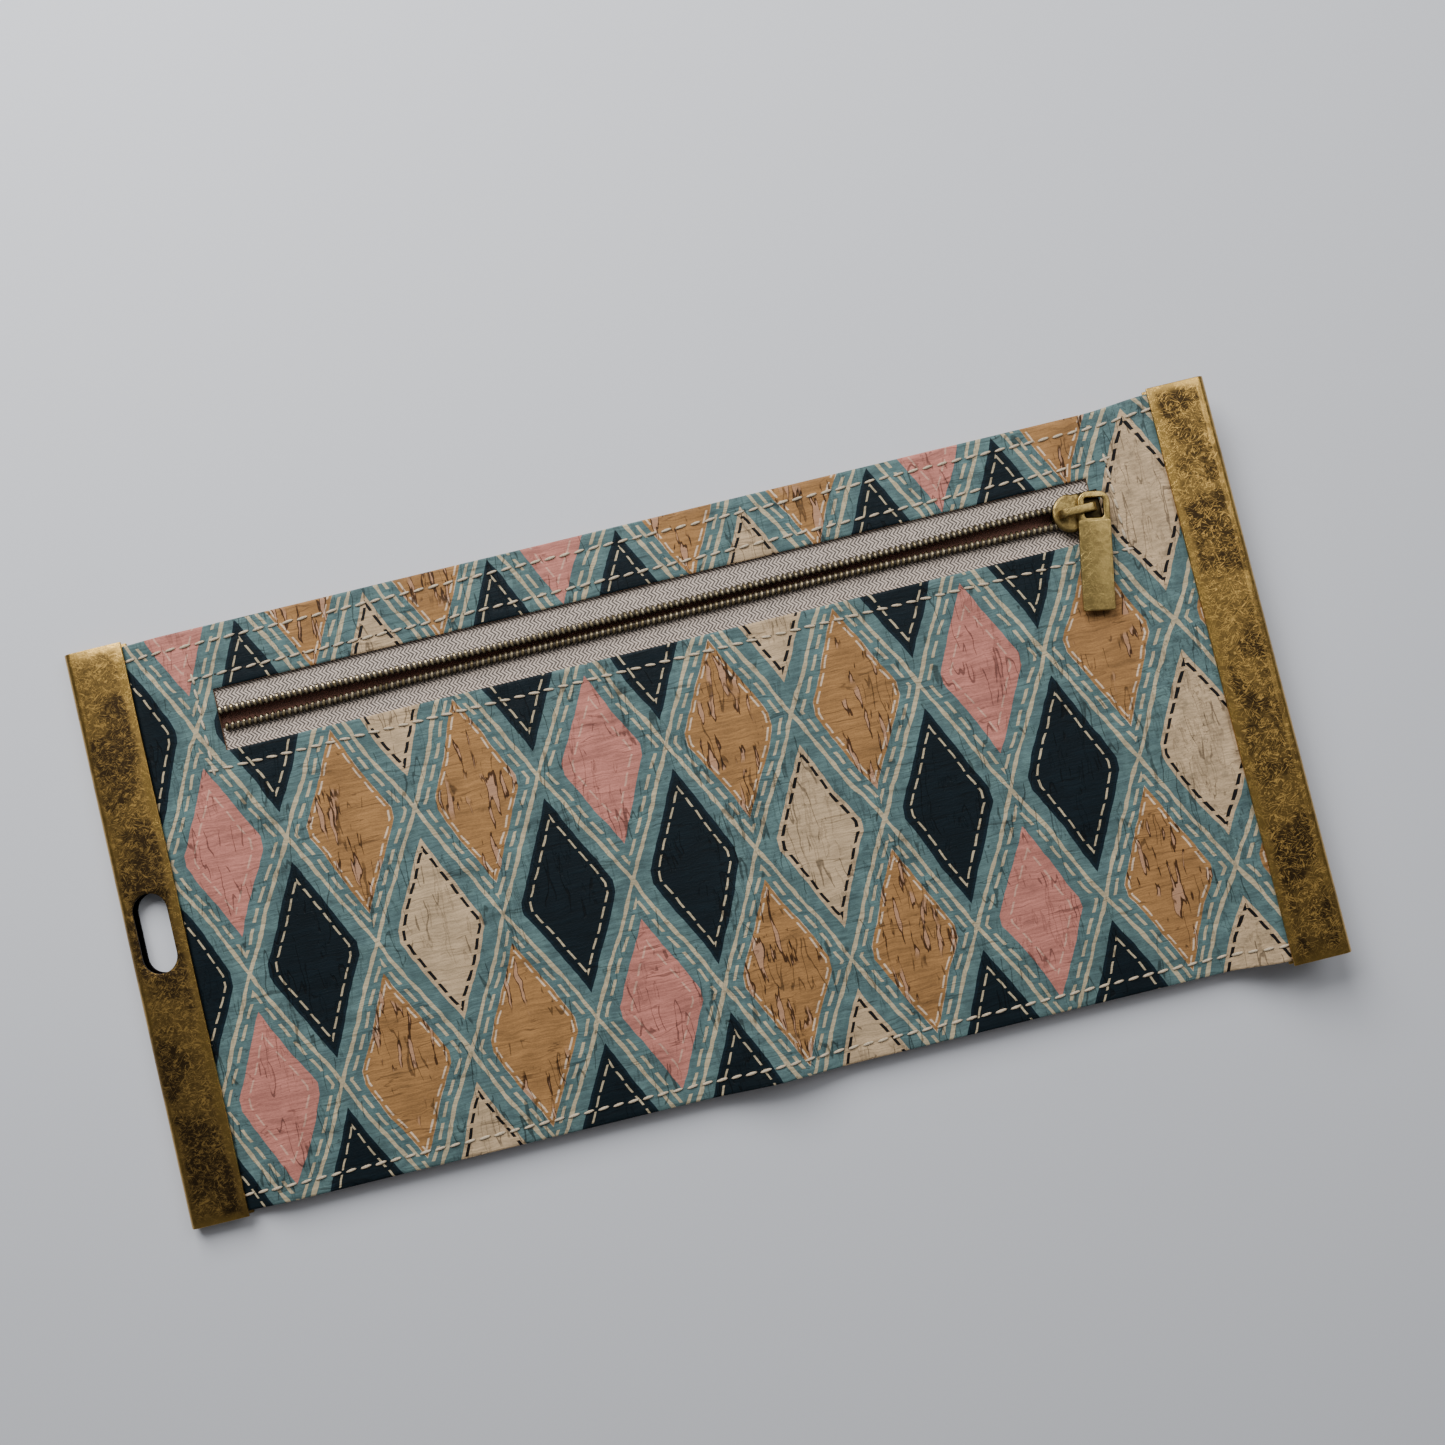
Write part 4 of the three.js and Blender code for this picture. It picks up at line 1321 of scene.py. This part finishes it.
class WALLET_OT_stage(bpy.types.Operator):
    """Pale floor, soft light and the camera"""
    bl_idname = "wallet.stage"
    bl_label = "Stage"

    def execute(self, context):
        self.floor()
        self.light("key", (-0.12, 0.42, 0.36), 0.38, 4.8)
        self.light("fill", (0.32, 0.20, 0.42), 0.3, 0.85)
        self.world()
        self.camera()
        return {"FINISHED"}

    def floor(self):
        side = 4.0
        points = [(-side, -side, 0), (side, -side, 0), (side, side, 0), (-side, side, 0)]
        mesh = mesh_from("floor", points, [[0, 1, 2, 3]])
        mesh.materials.append(material("floor"))
        floor = bpy.data.objects.new("floor", mesh)
        bpy.context.scene.collection.objects.link(floor)

    def light(self, name, place, size, power):
        lamp = bpy.data.lights.new(name, "AREA")
        lamp.shape = "SQUARE"
        lamp.size = size
        lamp.energy = power
        holder = bpy.data.objects.new(name, lamp)
        holder.location = place
        holder.rotation_euler = (-Vector(place)).to_track_quat("-Z", "Y").to_euler()
        bpy.context.scene.collection.objects.link(holder)

    def world(self):
        world = bpy.data.worlds.new("studio")
        world.use_nodes = True
        background = world.node_tree.nodes["Background"].inputs
        background["Color"].default_value = (0.95, 0.97, 1.0, 1)
        background["Strength"].default_value = 0.12
        bpy.context.scene.world = world

    def camera(self):
        camera = bpy.data.cameras.new("camera")
        camera.lens = CAMERA_LENS
        camera.sensor_width = 36
        camera.clip_start = 0.01
        holder = bpy.data.objects.new("camera", camera)
        axes = Matrix((CAMERA_RIGHT, -CAMERA_DOWN, -CAMERA_FORWARD)).transposed()
        holder.matrix_world = Matrix.Translation(CAMERA_PLACE) @ axes.to_4x4()
        bpy.context.scene.collection.objects.link(holder)
        bpy.context.scene.camera = holder


STEPS = (
    WALLET_OT_stage, WALLET_OT_cork_panel, WALLET_OT_inside, WALLET_OT_zip,
    WALLET_OT_slider, WALLET_OT_bars, WALLET_OT_latch, WALLET_OT_stitches,
)


class WALLET_PT_panel(bpy.types.Panel):
    """Lists the settings and the building steps"""
    bl_idname = "WALLET_PT_panel"
    bl_label = "Cork wallet"
    bl_space_type = "VIEW_3D"
    bl_region_type = "UI"
    bl_category = "Wallet"

    def draw(self, context):
        for name in WalletSettings.__annotations__:
            self.layout.prop(context.scene.wallet, name)
        for step in STEPS:
            self.layout.operator(step.bl_idname)


def register():
    for entry in (WalletSettings, *STEPS, WALLET_PT_panel):
        bpy.utils.register_class(entry)
    bpy.types.Scene.wallet = bpy.props.PointerProperty(type=WalletSettings)


def unregister():
    del bpy.types.Scene.wallet
    for entry in reversed((WalletSettings, *STEPS, WALLET_PT_panel)):
        bpy.utils.unregister_class(entry)


def main():
    register()
    for step in STEPS:
        group, name = step.bl_idname.split(".")
        getattr(getattr(bpy.ops, group), name)()


if __name__ == "__main__":
    main()
